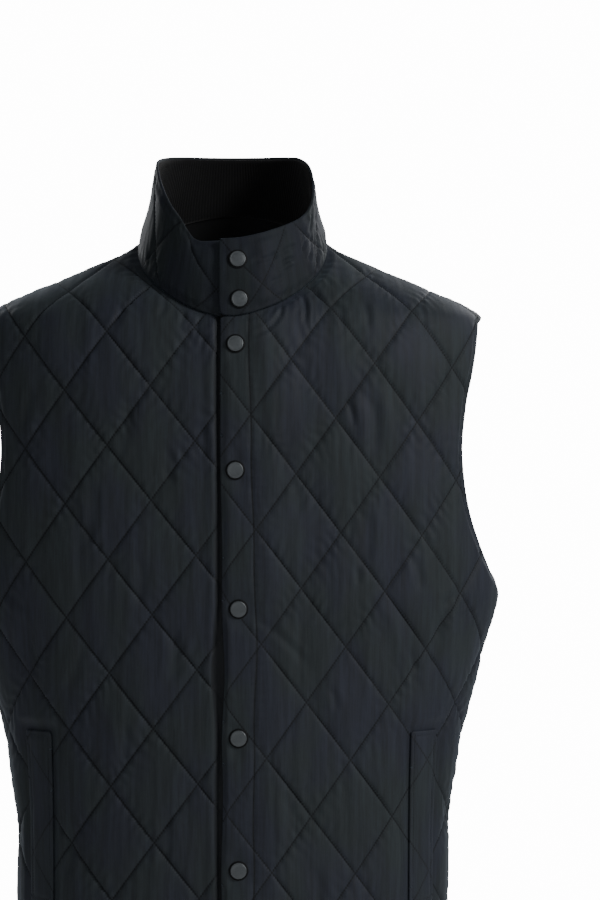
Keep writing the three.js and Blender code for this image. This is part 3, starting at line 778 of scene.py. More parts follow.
class Quilting:
    """The padded relief of quilted cloth: pillows, puckers along the lines and soft folds."""

    PUCKER_HIGH = 0.75
    PUCKER_WAVE = 11.0
    PUCKER_FADE = 9.0
    PUCKER_WANDER = 3.4
    PUCKER_MEAN = 0.55
    PUCKER_SPREAD = 0.75
    PUCKER_LEAST = 0.05
    PUCKER_MOST = 1.3
    # How far across and up the cloth each kind of fold repeats
    WIDE_FOLD = (34.0, 105.0)
    NARROW_FOLD = (13.0, 62.0)
    STREAK = (4.4, 46.0)
    FOLD_HIGH = 1.0
    STREAK_HIGH = 0.26
    FILLED_MEAN = 0.93
    FILLED_SPREAD = 0.2

    def __init__(self, grid, puff, seed, crumple=1.0):
        self.grid = grid
        self.puff = puff
        self.crumple = crumple
        self.noise = [Noise(seed + k) for k in range(8)]

    def pillow(self, i, j):
        p = i + j - np.floor(i + j)
        q = i - j - np.floor(i - j)
        return np.sqrt(16 * p * (1 - p) * q * (1 - q)) ** PILLOW_POWER

    def puckers(self, i, j):
        """Short creases that cross each stitched line and fade away from it."""
        total = 0.0
        for k, (across, along) in enumerate(((i + j, i - j), (i - j, i + j))):
            away = from_line(across)
            line = np.round(across)
            walked = along * LINE_GAP
            wander = self.noise[k](walked / 23.0, line * 3.7 + away / 12.0)
            turn = 2 * math.pi * walked / self.PUCKER_WAVE
            wave = np.sin(turn + self.PUCKER_WANDER * wander + 2.3 * line)
            uneven = self.noise[k + 2](walked / 31.0, line * 5.3)
            strength = self.PUCKER_MEAN + self.PUCKER_SPREAD * uneven
            strength = np.clip(strength, self.PUCKER_LEAST, self.PUCKER_MOST)
            total += wave * strength * np.exp(-away / self.PUCKER_FADE)
        return total * self.PUCKER_HIGH

    def folds(self, u, v):
        wide = self.noise[4].rough(u / self.WIDE_FOLD[0], v / self.WIDE_FOLD[1], 2)
        narrow = self.noise[5](u / self.NARROW_FOLD[0] + 0.4 * wide, v / self.NARROW_FOLD[1])
        streaks = self.noise[6](u / self.STREAK[0], v / self.STREAK[1])
        return self.FOLD_HIGH * (0.75 * wide + 0.5 * narrow) + self.STREAK_HIGH * streaks

    def fullness(self, i, j):
        """Each diamond is filled a little differently."""
        middle_i = (np.floor(i + j) + np.floor(i - j) + 1) / 2
        middle_j = (np.floor(i + j) - np.floor(i - j)) / 2
        own = self.noise[7](middle_i * 7.31 + 0.5, middle_j * 5.77 + 0.5)
        return self.FILLED_MEAN + self.FILLED_SPREAD * own

    def relief(self, u, v, mask=1.0):
        i, j = lattice_place(self.grid, u, v)
        pillow = self.pillow(i, j)
        full = self.puff * pillow * self.fullness(i, j)
        soft = smoothstep(pillow, 0.0, 0.75)
        rough = self.puckers(i, j) * smoothstep(pillow, 0.0, 0.35) + self.folds(u, v) * soft
        return mask * (full + self.crumple * rough)


# Creases, listed one by one: from and to in millimetres as seen from the front or from behind,
# how wide and how deep. A negative depth is a ridge.
CREASE_COLUMNS = "x0 z0 x1 z1 wide deep"

FRONT_LEFT_CREASES = table(CREASE_COLUMNS, [
    (66, -54, 69.5, -80, 2.1, 2.3),
    (58, -58, 60, -72, 3.0, -1.1),
    (47, -66, 45, -77, 2.0, 1.8),
    (45, -76, 34, -87, 2.0, 1.7),
    (36, -86, 22, -92, 2.0, 1.4),
    (30, -68, 27, -75, 1.9, 1.1),
    (39, -67, 38, -73, 1.9, 0.9),
    (76, -47, 84, -60, 2.4, 1.0),
    (84, -36, 94, -46, 2.2, 0.9),
    (98, -61, 105, -82, 3.0, 1.3),
    (124, -62, 128, -86, 3.2, 1.3),
    (109, -152, 114, -176, 2.4, 1.6),
    (130, -146, 133, -204, 6.5, 1.9),
    (121, -150, 124, -196, 5.0, -0.9),
    (125, -252, 125, -305, 5.5, 1.4),
    (118, -309, 118, -324, 3.0, 1.2),
    (170, -298, 176, -330, 4.0, 1.5),
    (144, -346, 158, -400, 6.0, -1.3),
    (167, -384, 173, -433, 4.2, 1.5),
    (93, -421, 98, -442, 3.2, 1.1),
    (9, -347, 72, -400, 3.6, 1.2),
    (60, -226, 62, -262, 4.2, 1.1),
    (52, -520, 57, -566, 5.0, 1.2),
    (150, -455, 154, -500, 5.0, 1.3),
    (78, -590, 81, -640, 5.5, 1.2),
    (196, -356, 184, -408, 5.0, 1.6),
    (208, -338, 200, -372, 4.2, -1.2),
    (214, -330, 196, -344, 4.0, 1.5),
])

FRONT_RIGHT_CREASES = table(CREASE_COLUMNS, [
    (-62, -57, -66, -76, 3.0, 1.5),
    (-44, -66, -46, -82, 2.6, 1.1),
    (-30, -72, -30, -84, 2.4, 0.9),
    (-78, -46, -86, -60, 2.6, 1.2),
    (-104, -64, -110, -88, 3.2, 1.2),
    (-96, -150, -101, -196, 5.5, 1.5),
    (-60, -196, -58, -238, 4.6, 1.2),
    (-128, -232, -134, -286, 5.4, 1.5),
    (-84, -298, -86, -344, 4.6, 1.2),
    (-52, -366, -55, -418, 5.0, 1.3),
    (-140, -372, -150, -424, 5.2, 1.4),
    (-98, -452, -102, -498, 4.8, 1.2),
    (-60, -540, -62, -590, 5.0, 1.2),
    (-150, -560, -154, -604, 5.0, 1.2),
    (-210, -332, -194, -350, 4.2, 1.6),
    (-198, -352, -186, -402, 5.0, 1.5),
    (-188, -140, -196, -178, 4.6, 1.3),
])

BACK_CREASES = table(CREASE_COLUMNS, [
    (-34, -22, -36, -50, 3.2, 1.2),
    (12, -22, 13, -44, 2.8, 1.0),
    (48, -24, 54, -52, 3.2, 1.2),
    (-118, -118, -128, -178, 6.0, 1.6),
    (96, -112, 108, -176, 6.5, 1.7),
    (176, -148, 168, -212, 6.0, 1.5),
    (-184, -156, -172, -220, 6.0, 1.6),
    (-46, -204, -44, -262, 5.5, 1.4),
    (52, -246, 56, -304, 6.0, 1.4),
    (208, -338, 176, -366, 5.0, 1.9),
    (-206, -336, -170, -362, 5.0, 1.8),
    (190, -372, 158, -398, 4.6, 1.4),
    (-190, -370, -150, -402, 5.0, 1.6),
    (-92, -352, -104, -410, 6.0, 1.5),
    (22, -398, 18, -452, 5.5, 1.3),
    (118, -436, 112, -494, 6.0, 1.4),
    (-132, -462, -128, -520, 6.0, 1.4),
    (-30, -548, -33, -604, 5.5, 1.3),
    (74, -572, 78, -630, 5.5, 1.3),
    (-88, -610, -90, -654, 5.0, 1.1),
    (152, -596, 155, -646, 5.0, 1.2),
])

COLLAR_CREASES = table(CREASE_COLUMNS, [
    (16, -24, 33, -18, 1.9, 1.5),
    (32, -19, 46, -12, 1.9, 1.4),
    (45, -13, 62, -4, 2.0, 1.3),
    (47, -21.5, 59, -16.5, 1.8, 2.1),
    (46, -27, 58, -20, 2.2, -1.0),
    (36, -43, 50, -35, 2.4, 1.0),
    (66, -10, 70, 2, 2.4, 1.2),
    (72, -18, 76, -4, 2.6, 1.1),
    (-46, -17, -40, -30, 2.0, 1.7),
    (-40, -29, -18, -38, 2.0, 1.6),
    (-52, -12, -42, -30, 2.6, 1.0),
    (-66, 0, -58, -16, 2.6, 1.1),
    (-76, 22, -72, 6, 2.8, 1.2),
    (76, 28, 74, 10, 2.8, 1.1),
])


class Creases:
    """Listed creases, as soft grooves with raised lips in the cloth's own flat places."""

    BOW = 0.06
    LIP_HIGH = 0.35
    LIP_OUT = 2.1
    LIP_WIDE = 0.9

    def __init__(self, form, table):
        starts = form.flat_of(table["x0"], table["z0"])
        ends = form.flat_of(table["x1"], table["z1"])
        self.rows = list(zip(starts, ends, table["wide"], table["deep"]))

    def depth(self, u, v):
        total = np.zeros(len(u))
        at = np.stack([u, v], axis=1)
        for start, end, wide, deep in self.rows:
            along = end - start
            length = np.linalg.norm(along)
            t = (at - start) @ along / length ** 2
            bow = self.BOW * length * np.sin(math.pi * np.clip(t, 0, 1))
            side = (at - start) @ np.array([-along[1], along[0]]) / length - bow
            ends_fade = smoothstep(t, -0.12, 0.25) * (1 - smoothstep(t, 0.7, 1.12))
            groove = np.exp(-(side / wide) ** 2)
            from_lip = (np.abs(side) - self.LIP_OUT * wide) / (self.LIP_WIDE * wide)
            lips = self.LIP_HIGH * np.exp(-from_lip ** 2)
            total += deep * ends_fade * (groove - lips)
        return -total


# Flat meshes of cloth, trimmed to their outlines and then wrapped

def cell_corners(number):
    """The four corners' numbers of every cell of a numbered grid."""
    corners = (number[:-1, :-1], number[1:, :-1], number[1:, 1:], number[:-1, 1:])
    return [corner.ravel() for corner in corners]


class FlatCloth:
    """A closed flat wall over a lattice that runs along the quilting, with rounded edges."""

    RIM_ROWS = 4
    SNAP_SHARE = 0.3
    SETTLE_ROUNDS = 3
    SEAM_OVERLAP = 0.9

    def __init__(self, grid, rows, cells, edge_round=EDGE_ROUND):
        self.grid = grid
        self.outline = Outline(rows)
        self.edge_round = edge_round
        self.lattice(rows, cells)
        self.find_border()

    def lattice(self, rows, cells):
        i, j = lattice_place(self.grid, rows[:, 0], rows[:, 1])
        i0, j0 = math.floor(i.min() * cells) - 1, math.floor(j.min() * cells) - 1
        i1, j1 = math.ceil(i.max() * cells) + 1, math.ceil(j.max() * cells) + 1
        columns, lines = np.meshgrid(np.arange(i0, i1 + 1), np.arange(j0, j1 + 1), indexing="ij")
        u, v = flat_place(self.grid, columns.ravel() / cells, lines.ravel() / cells)
        at = np.stack([u, v], axis=1)
        away, _, kind, _ = self.outline.measure(at)
        cell = self.grid["wide"] / cells
        inside = away - self.inset(kind) > self.SNAP_SHARE * cell
        triangles = self.cell_triangles(columns, lines, cells)
        triangles = triangles[inside[triangles].any(axis=1)]
        used = np.unique(triangles)
        renumber = np.full(len(at), -1)
        renumber[used] = np.arange(len(used))
        self.at = at[used]
        self.triangles = renumber[triangles]
        loose = ~inside[used]
        for _ in range(self.SETTLE_ROUNDS):
            away, direction, kind, _ = self.outline.measure(self.at[loose])
            self.at[loose] += direction * (away - self.inset(kind))[:, None]

    def inset(self, kind):
        """How far the flat face stops short of the edge. Sewn edges reach into each other."""
        return self.edge_round - self.SEAM_OVERLAP * np.isin(kind, (NECK, SHOULDER, SIDE))

    def cell_triangles(self, columns, lines, cells):
        a, b, c, d = cell_corners(np.arange(columns.size).reshape(columns.shape))
        i, j = columns[:-1, :-1].ravel(), lines[:-1, :-1].ravel()
        rising = (i - j) % cells == 0
        falling = (i + j + 1) % cells == 0
        turned = (falling | (~rising & ((i + j) % 2 != 0)))[:, None]
        first = np.where(turned, np.stack([a, b, d], 1), np.stack([a, b, c], 1))
        second = np.where(turned, np.stack([b, c, d], 1), np.stack([a, c, d], 1))
        return np.concatenate([first, second])

    def find_border(self):
        t = self.triangles
        edges = np.concatenate([t[:, [0, 1]], t[:, [1, 2]], t[:, [2, 0]]])
        size = len(self.at)
        forward = edges[:, 0] * size + edges[:, 1]
        backward = edges[:, 1] * size + edges[:, 0]
        self.border = edges[~np.isin(forward, backward)]
        self.border_points = np.unique(self.border)

    def wall(self, inner, outer):
        """All points with their w, and all triangles, of the wall between two heights."""
        at = self.at
        top = outer(at[:, 0], at[:, 1])
        bottom = inner(at[:, 0], at[:, 1])
        size = len(at)
        ring = self.border_points
        _, direction, _, _ = self.outline.measure(at[ring])
        flats, heights = [at, at], [top, bottom]
        for k in range(1, self.RIM_ROWS + 1):
            turn = math.pi * k / (self.RIM_ROWS + 1)
            flats.append(at[ring] + direction * self.edge_round * math.sin(turn))
            share = 0.5 + 0.5 * math.cos(turn)
            heights.append(bottom[ring] + (top[ring] - bottom[ring]) * share)
        rows = [np.arange(size)]
        for k in range(self.RIM_ROWS):
            row = np.zeros(size, int)
            row[ring] = 2 * size + k * len(ring) + np.arange(len(ring))
            rows.append(row)
        rows.append(np.arange(size) + size)
        triangles = [self.triangles, self.triangles[:, ::-1] + size]
        start, end = self.border[:, 0], self.border[:, 1]
        for upper, lower in zip(rows, rows[1:]):
            triangles.append(np.stack([upper[end], upper[start], lower[start]], axis=1))
            triangles.append(np.stack([upper[end], lower[start], lower[end]], axis=1))
        self.inner_faces = (len(self.triangles), 2 * len(self.triangles))
        return np.concatenate(flats), np.concatenate(heights), np.concatenate(triangles)


def new_object(name, data):
    made = bpy.data.objects.new(name, data)
    bpy.context.scene.collection.objects.link(made)
    return made


def mesh_object(name, points, triangles, maps=None, materials=(), slots=None):
    """A smooth mesh in metres from points in millimetres."""
    mesh = bpy.data.meshes.new(name)
    count = len(triangles)
    mesh.vertices.add(len(points))
    mesh.vertices.foreach_set("co", (points * MM).astype(np.float32).ravel())
    mesh.loops.add(count * 3)
    mesh.loops.foreach_set("vertex_index", triangles.astype(np.int32).ravel())
    mesh.polygons.add(count)
    mesh.polygons.foreach_set("loop_start", np.arange(0, count * 3, 3, dtype=np.int32))
    mesh.update(calc_edges=True)
    mesh.polygons.foreach_set("use_smooth", np.ones(count, bool))
    for title, places in (maps or {}).items():
        layer = mesh.uv_layers.new(name=title)
        layer.data.foreach_set("uv", places[triangles.ravel()].astype(np.float32).ravel())
    for material in materials:
        mesh.materials.append(material)
    if slots is not None:
        mesh.polygons.foreach_set("material_index", slots.astype(np.int32))
    mesh.validate()
    return new_object(name, mesh)


def far_from_line(u, v):
    return np.full(len(u), FAR_FROM_LINE)


def cloth_maps(grid, flat, from_painted_shade=far_from_line):
    """Flat places, places in the quilting, and how far the cloth is from the shade painted along a
    stitched seam or beside the placket's free edge.
    """
    i, j = lattice_place(grid, flat[:, 0], flat[:, 1])
    away = from_painted_shade(flat[:, 0], flat[:, 1]) * MM
    return {
        "cloth": flat * MM,
        "quilt": np.stack([i, j], axis=1),
        # The map named seam carries how far the cloth is from painted shade
        "seam": np.stack([away, away], axis=1),
    }


def cloth_piece(name, form, cloth, inner, outer, materials, from_painted_shade=far_from_line):
    flat, height, triangles = cloth.wall(inner, outer)
    points = form.place(flat[:, 0], flat[:, 1], height)
    if getattr(form, "facing", "") == "back":
        triangles = triangles[:, ::-1]
    slots = np.zeros(len(triangles), int)
    slots[cloth.inner_faces[0]:cloth.inner_faces[1]] = len(materials) - 1
    maps = cloth_maps(cloth.grid, flat, from_painted_shade)
    return mesh_object(name, points, triangles, maps, materials, slots)


# The panels' heights

# Puckers along each kind of edge: how high, how long their waves and how far in they fade
SEAM_PUCKERS = {
    NECK: (0.95, 11.0, 8.0),
    SHOULDER: (0.55, 15.0, 9.0),
    ARMHOLE_EDGE: (0.5, 12.0, 8.0),
    SIDE: (0.95, 16.0, 12.0),
    HEM_EDGE: (0.55, 15.0, 9.0),
    FRONT_EDGE: (0.3, 19.0, 8.0),
}
GROOVED_EDGES = (ARMHOLE_EDGE, HEM_EDGE)
TAUT_SHARE = 0.45
TAUT_REACH = 70.0
EDGE_GROOVE = 0.55
EDGE_GROOVE_WIDE = 1.5
PLACKET_GROOVE_WIDE = 1.3
PLACKET_EASE = 24.0
PLACKET_FLATTER = 0.55
PLACKET_HELD = 0.6
PLACKET_GROOVE = 0.3
PLACKET_SCALLOP = 0.5
PLACKET_PUCKER = 0.5
PLACKET_PUCKER_INSIDE = 0.55
PLACKET_PUCKER_FADE = 7.0
PLACKET_WAVE = 9.0


def overlap_lift(u):
    return OVERLAP_LIFT * (1.0 - smoothstep(u, UNDER_EDGE, LIFT_ENDS))


def front_snap_places():
    across, height = FRONT_SNAPS.T
    return np.stack([across, front_form.flat_height(across, height)], axis=1)


def collar_snap_places():
    return np.array([(COLLAR_SNAP_ACROSS, rise) for rise in COLLAR_SNAP_RISES])


def snap_mask(places, u, v):
    """The wadding is pressed flat round each snap."""
    mask = np.ones(len(u))
    for us, vs in places:
        away = np.hypot(u - us, v - vs)
        mask *= smoothstep(away, SNAP_PRESSED, SNAP_PRESSED_TO)
    return mask


def snap_pull(places, u, v):
    """Short creases that run out from each snap."""
    total = np.zeros(len(u))
    for k, (us, vs) in enumerate(places):
        away = np.hypot(u - us, v - vs)
        angle = np.arctan2(v - vs, u - us)
        rays = np.cos(5 * angle + 1.7 * k) + 0.6 * np.cos(3 * angle + 0.9 * k)
        total += SNAP_PULL * rays * smoothstep(away, 8.0, 12.0) * (1 - smoothstep(away, 13.0, 30.0))
    return total


def welt_top():
    return front_form.flat_height(np.array([WELT_ACROSS]), np.array([WELT_TOP]))[0]


def welt_mask(side, u, v):
    across = np.maximum(np.maximum(WELT_ACROSS - side * u, side * u - WELT_ACROSS - WELT_WIDE), 0)
    along = np.maximum(np.maximum(v - welt_top(), welt_top() - WELT_TALL - v), 0)
    return smoothstep(np.hypot(across, along), 2.0, 2.0 + WELT_MARGIN)


class PanelHeight:
    """The outer height of a panel at its flat places."""

    SEAM_WANDER = 3.6
    SEAM_MEAN = 0.65
    SEAM_SPREAD = 0.6
    # What is left of a crease and of a seam's puckers where the wadding is pressed flat
    CREASE_LEFT = 0.35
    PUCKER_LEFT = 0.4

    def __init__(self, outline, quilting, creases, seed):
        self.outline = outline
        self.quilting = quilting
        self.creases = creases
        self.noise = Noise(seed)
        self.shoulder = None
        if SHOULDER in outline.kinds:
            ends = np.abs(outline.starts[outline.kinds == SHOULDER])
            self.shoulder = ends[np.argsort(ends[:, 0])][[0, -1]]

    def taut(self, u, v):
        """The cloth lies flatter where it is drawn over the shoulder."""
        if self.shoulder is None:
            return 1.0
        start, end = self.shoulder
        along = unit(end - start)
        away = np.abs((np.abs(u) - start[0]) * along[1] - (v - start[1]) * along[0])
        return TAUT_SHARE + (1 - TAUT_SHARE) * smoothstep(away, 10.0, TAUT_REACH)

    def seams(self, away, kind, along):
        """Puckers along the seams, and the groove inside the armholes and the hem."""
        total = np.zeros(len(away))
        for which, (high, wave, fade) in SEAM_PUCKERS.items():
            here = kind == which
            wander = self.noise(along[here] / 27.0, away[here] / 15.0)
            ripple = np.sin(2 * math.pi * along[here] / wave + self.SEAM_WANDER * wander)
            own = self.noise(along[here] / 41.0 + 9.0, 3.1 * which + 0.5)
            uneven = self.SEAM_MEAN + self.SEAM_SPREAD * own
            rise = smoothstep(away[here], 0.5, 3.5) * np.exp(-away[here] / fade)
            total[here] += high * ripple * uneven * rise
        grooved = np.isin(kind, GROOVED_EDGES)
        groove = np.exp(-((away - EDGE_STITCH_IN) / EDGE_GROOVE_WIDE) ** 2)
        total[grooved] -= EDGE_GROOVE * groove[grooved]
        return total

    def relief(self, u, v, mask):
        away, _, kind, along = self.outline.measure(np.stack([u, v], axis=1))
        edge = smoothstep(away, EDGE_FLAT, EDGE_FLAT + EDGE_RISE)
        puffed = self.quilting.relief(u, v, mask * edge * self.taut(u, v))
        creased = self.creases.depth(u, v) * smoothstep(away, 1.0, 6.0)
        creased *= self.CREASE_LEFT + (1 - self.CREASE_LEFT) * mask
        puckered = self.seams(away, kind, along) * (self.PUCKER_LEFT + (1 - self.PUCKER_LEFT) * mask)
        return puffed + creased + puckered


placket_across = table_curve(PLACKET_LINE, "u", "v")


def placket_line(v):
    """The stitch line that holds the placket, drawn in a little at the quilting's crossings."""
    scallop = PLACKET_SCALLOP * np.cos(2 * math.pi * (v - LEFT_GRID["v"]) / DIAMOND_HIGH)
    return placket_across(v) + scallop


def placket_relief(u, v):
    """The groove of the placket's stitch line, and the puckers on both sides of it."""
    away = u - placket_line(v)
    groove = np.exp(-(away / PLACKET_GROOVE_WIDE) ** 2)
    ripple = np.sin(2 * math.pi * v / PLACKET_WAVE + 1.3 * np.sin(v / 17.0))
    side = np.where(away > 0, 1.0, PLACKET_PUCKER_INSIDE)
    fade = np.exp(-np.abs(away) / PLACKET_PUCKER_FADE) * (1 - groove)
    return groove, PLACKET_PUCKER * side * ripple * fade


edge_drift = table_curve(EDGE_DRIFT, "drift", "v")


class DriftingForm:
    """The front form, with the placket's free edge drawn back a little between its snaps."""

    def place(self, u, v, w):
        near = 1.0 - smoothstep(u, OVERLAP_EDGE, EDGE_DRIFT_FADES)
        return front_form.place(u + edge_drift(v) * near, v, w)


def left_lift(u, v):
    """The placket lies over the under panel, and is pressed down along its free edge."""
    edge = 1.0 - smoothstep(u, OVERLAP_EDGE, OVERLAP_EDGE + EDGE_PRESSED_WIDE)
    return overlap_lift(u) - EDGE_PRESSED * edge


def front_left_outer(height):
    snaps = front_snap_places()

    def outer(u, v):
        groove, ripple = placket_relief(u, v)
        eased = smoothstep(u - placket_line(v), 0.0, PLACKET_EASE)
        strip = 1.0 - PLACKET_FLATTER * (1 - eased)
        mask = welt_mask(1, u, v) * snap_mask(snaps, u, v) * strip
        held = height.relief(u, v, mask) * (1 - PLACKET_HELD * groove)
        relief = held + ripple - PLACKET_GROOVE * groove
        return left_lift(u, v) + CLOTH_THICKNESS + relief + snap_pull(snaps, u, v)

    return outer


slot_start = table_curve(SLOT_START, "start", "v")


def pressed_slot(u, v):
    """The under panel is pressed thin where the top panel's edge lies over it, and rolls up
    beside it."""
    start = slot_start(v)
    into = smoothstep(u, start, start + SLOT_SIDE)
    roll = np.exp(-((u - start + SLOT_ROLL_IN) / SLOT_ROLL_WIDE) ** 2) * (1 - into)
    deep = SLOT_DEEP * into * (1 - smoothstep(u, SLOT_TO, SLOT_TO + SLOT_ENDS_WIDE))
    return deep - SLOT_ROLL * roll


def from_slot_painted_shade(u, v):
    """Painted shade beside the placket's free edge, where that edge's shadow falls: how far out from
    the dark band the under panel's cloth lies, scaled by SLOT_FADE.
    """
    return SLOT_FADE * np.maximum(slot_start(v) + SLOT_SHADE_IN - u, 0.0)


def front_right_outer(height):
    def outer(u, v):
        start = slot_start(v)
        reached = smoothstep(u, start - UNDER_FADE_FROM, start + UNDER_FADE_TO)
        under = 1.0 - (1.0 - UNDER_PUFF) * reached
        relief = height.relief(u, v, welt_mask(-1, u, v) * under)
        return CLOTH_THICKNESS - pressed_slot(u, v) + relief * (0.5 + 0.5 * under)

    return outer


def back_outer(height):
    return lambda u, v: CLOTH_THICKNESS + height.relief(u, v, np.ones(len(u)))


def nothing(u, v):
    return np.zeros(len(u))


# Collar

COLLAR_FOLD_LOW = 70.1
COLLAR_FOLD_HIGH = 71.3
FACING_TOP = 69.6
FACING_LOW = -3.5
FACING_TURNED_IN = 1.3
FACING_ROWS = 17
FACING_BACK = 0.1
FACING_EDGE = 2.0
FACING_TURN_HIGH = 9.0
FACING_SEED = 91
COLLAR_MARGIN = 1.4
COLLAR_UNDER_FADE = 16.0
COLLAR_STRIP_FROM = 6.0
COLLAR_STRIP_TO = 2.0
COLLAR_STRIP_FLATTER = 0.5


def collar_end():
    return collar_form.around + UNDER_EDGE


def collar_inner(s, t):
    behind = 1.0 - smoothstep(t, COLLAR_FOLD_LOW, COLLAR_FOLD_HIGH)
    return overlap_lift(s) + (FACING_THICKNESS + SEAM_GAP) * behind


def collar_outer(height):
    snaps = collar_snap_places()

    def outer(s, t):
        hidden = collar_form.around + OVERLAP_EDGE
        under = 1.0 - (1.0 - UNDER_PUFF) * smoothstep(s, hidden - COLLAR_UNDER_FADE, hidden)
        strip_end = LEFT_GRID["u"]
        past_strip = smoothstep(s, strip_end - COLLAR_STRIP_FROM, strip_end + COLLAR_STRIP_TO)
        strip = 1.0 - COLLAR_STRIP_FLATTER * (1 - past_strip)
        mask = snap_mask(snaps, s, t) * under * strip
        lining = FACING_THICKNESS + SEAM_GAP + CLOTH_THICKNESS
        return overlap_lift(s) + lining + height.relief(s, t, mask) + snap_pull(snaps, s, t)

    return outer


def collar_outline():
    rows = rectangle(OVERLAP_EDGE, 0.0, collar_end(), COLLAR_HEIGHT)
    rows[:, 2] = (NECK, FRONT_EDGE, ARMHOLE_EDGE, FRONT_EDGE)
    return rows


def corduroy_facing(material):
    """The collar's inner face: upright wales stand out from it towards the neck."""
    start, end = OVERLAP_EDGE + COLLAR_MARGIN, collar_end() - COLLAR_MARGIN
    columns = round((end - start) / WALE_PITCH) * WALE_COLUMNS
    around = np.linspace(start, end, columns + 1)
    up = np.linspace(FACING_LOW, FACING_TOP, FACING_ROWS)
    s, t = (grid.ravel() for grid in np.meshgrid(around, up, indexing="ij"))
    phase = np.pi * (s - start) / WALE_PITCH
    wale = np.abs(np.sin(phase)) ** WALE_ROUND
    wander = Noise(FACING_SEED)(s / 9.0, t / 16.0)
    edge = smoothstep(np.minimum(t - FACING_LOW, FACING_TOP - t), 0.0, FACING_EDGE)
    turned_in = FACING_TURNED_IN * (1 - smoothstep(t, 0.0, FACING_TURN_HIGH))
    raised = WALE_HIGH * wale * (0.9 + 0.2 * wander) * edge + turned_in
    lift = overlap_lift(s)
    inside = collar_form.place(s, t, lift + FACING_BACK - raised)
    outside = collar_form.place(s, t, lift + FACING_THICKNESS)
    number = np.arange(len(s)).reshape(columns + 1, FACING_ROWS)
    a, b, c, d = cell_corners(number)
    size = len(s)
    faces = [np.stack([a, c, b], 1), np.stack([a, d, c], 1)]
    faces += [np.stack([a, b, c], 1) + size, np.stack([a, c, d], 1) + size]
    border = np.concatenate([number[:, 0], number[-1, 1:], number[-2::-1, -1], number[0, -2:0:-1]])
    after = np.roll(border, -1)
    faces.append(np.stack([border, after, after + size], 1))
    faces.append(np.stack([border, after + size, border + size], 1))
    flat = np.stack([s, t], axis=1)
    maps = cloth_maps(COLLAR_GRID, np.concatenate([flat, flat]))
    points = np.concatenate([inside, outside])
    return mesh_object("corduroy_facing", points, np.concatenate(faces), maps, [material])


# Snaps

SNAP_PROFILE = [
    (4.6, -0.25),
    (8.9, -0.15),
    (9.2, 0.2),
    (8.9, 0.4),
    (7.1, 0.44),
    (7.5, 0.62),
    (7.65, 0.98),
    (7.55, 1.37),
    (7.25, 1.75),
    (6.8, 1.98),
    (6.45, 2.0),
    (6.25, 1.86),
    (6.0, 1.9),
    (5.5, 2.05),
    (4.0, 2.2),
    (2.0, 2.3),
]
SNAP_FLANGE_ROWS = 4
SNAP_SIDES = 48
SNAP_MIDDLE = 2.33


def snap_cap(name, form, place, lining, materials):
    """A plain round cap with a rolled edge, turned on its own axis and set on the placket."""
    u, v = np.array([place[0]]), np.array([place[1]])
    seat_height = OVERLAP_LIFT + CLOTH_THICKNESS + SEAM_GAP + lining
    seat = form.place(u, v, np.array([seat_height]))[0]
    out = unit(form.place(u, v, np.array([seat_height + 1.0]))[0] - seat)
    across = unit(np.cross([0.0, 0.0, 1.0], out))
    up = np.cross(out, across)
    turns = 2 * math.pi * np.arange(SNAP_SIDES) / SNAP_SIDES
    ring = np.cos(turns)[:, None] * across + np.sin(turns)[:, None] * up
    rows = [seat + radius * ring + high * out for radius, high in SNAP_PROFILE]
    low = seat + SNAP_PROFILE[0][1] * out
    high = seat + SNAP_MIDDLE * out
    points = np.concatenate([*rows, [low], [high]])
    k = np.arange(SNAP_SIDES)
    after = (k + 1) % SNAP_SIDES
    faces = []
    for row in range(len(rows) - 1):
        a, b = row * SNAP_SIDES + k, row * SNAP_SIDES + after
        c, d = b + SNAP_SIDES, a + SNAP_SIDES
        faces += [np.stack([a, b, c], 1), np.stack([a, c, d], 1)]
    bottom, top = len(points) - 2, len(points) - 1
    last = (len(rows) - 1) * SNAP_SIDES
    faces.append(np.stack([np.full(SNAP_SIDES, bottom), after, k], 1))
    faces.append(np.stack([last + k, last + after, np.full(SNAP_SIDES, top)], 1))
    faces = np.concatenate(faces)
    slots = np.zeros(len(faces), int)
    # The flange rows take the near-black material, painted as the cap's contact shadow
    slots[:SNAP_FLANGE_ROWS * 2 * SNAP_SIDES] = 1
    return mesh_object(name, points, faces, None, materials, slots)


# Sewing: lines on the cloth's outer faces that the stitches follow

LINE_STEP = 3.0


def runs_of(points, keep):
    """The stretches of a line that are kept."""
    runs = []
    start = None
    for k, kept in enumerate([*keep, False]):
        if kept and start is None:
            start = k
        if not kept and start is not None:
            if k - start > 2:
                runs.append(points[start:k])
            start = None
    return runs


def quilting_lines(cloth, margin, skip=None):
    grid = cloth.grid
    i, j = lattice_place(grid, cloth.at[:, 0], cloth.at[:, 1])
    runs = []
    for sign in (1, -1):
        across, along = i + sign * j, i - sign * j
        share = LINE_STEP / LINE_GAP / 2
        for line in range(math.floor(across.min()), math.ceil(across.max()) + 1):
            walked = np.arange(along.min(), along.max(), share)
            line_i, line_j = (line + walked) / 2, sign * (line - walked) / 2
            u, v = flat_place(grid, line_i, line_j)
            at = np.stack([u, v], axis=1)
            away, _, _, _ = cloth.outline.measure(at)
            keep = away > margin
            if skip is not None:
                keep &= ~skip(u, v)
            runs += runs_of(at, keep)
    return runs


def armhole_stitches(form, side):
    """The line of stitches inside one armhole's edge, on the wearer's left where side is 1."""
    edge = armhole_line(form) * [side, 1]
    along = unit(np.gradient(edge, axis=0))
    inwards = side * EDGE_STITCH_IN * np.stack([along[:, 1], -along[:, 0]], axis=1)
    return finer(edge + inwards)


def finer(line):
    lengths = travelled(line)
    at = np.linspace(0.0, lengths[-1], max(2, round(lengths[-1] / LINE_STEP)))
    return np.stack([np.interp(at, lengths, line[:, k]) for k in range(2)], axis=1)


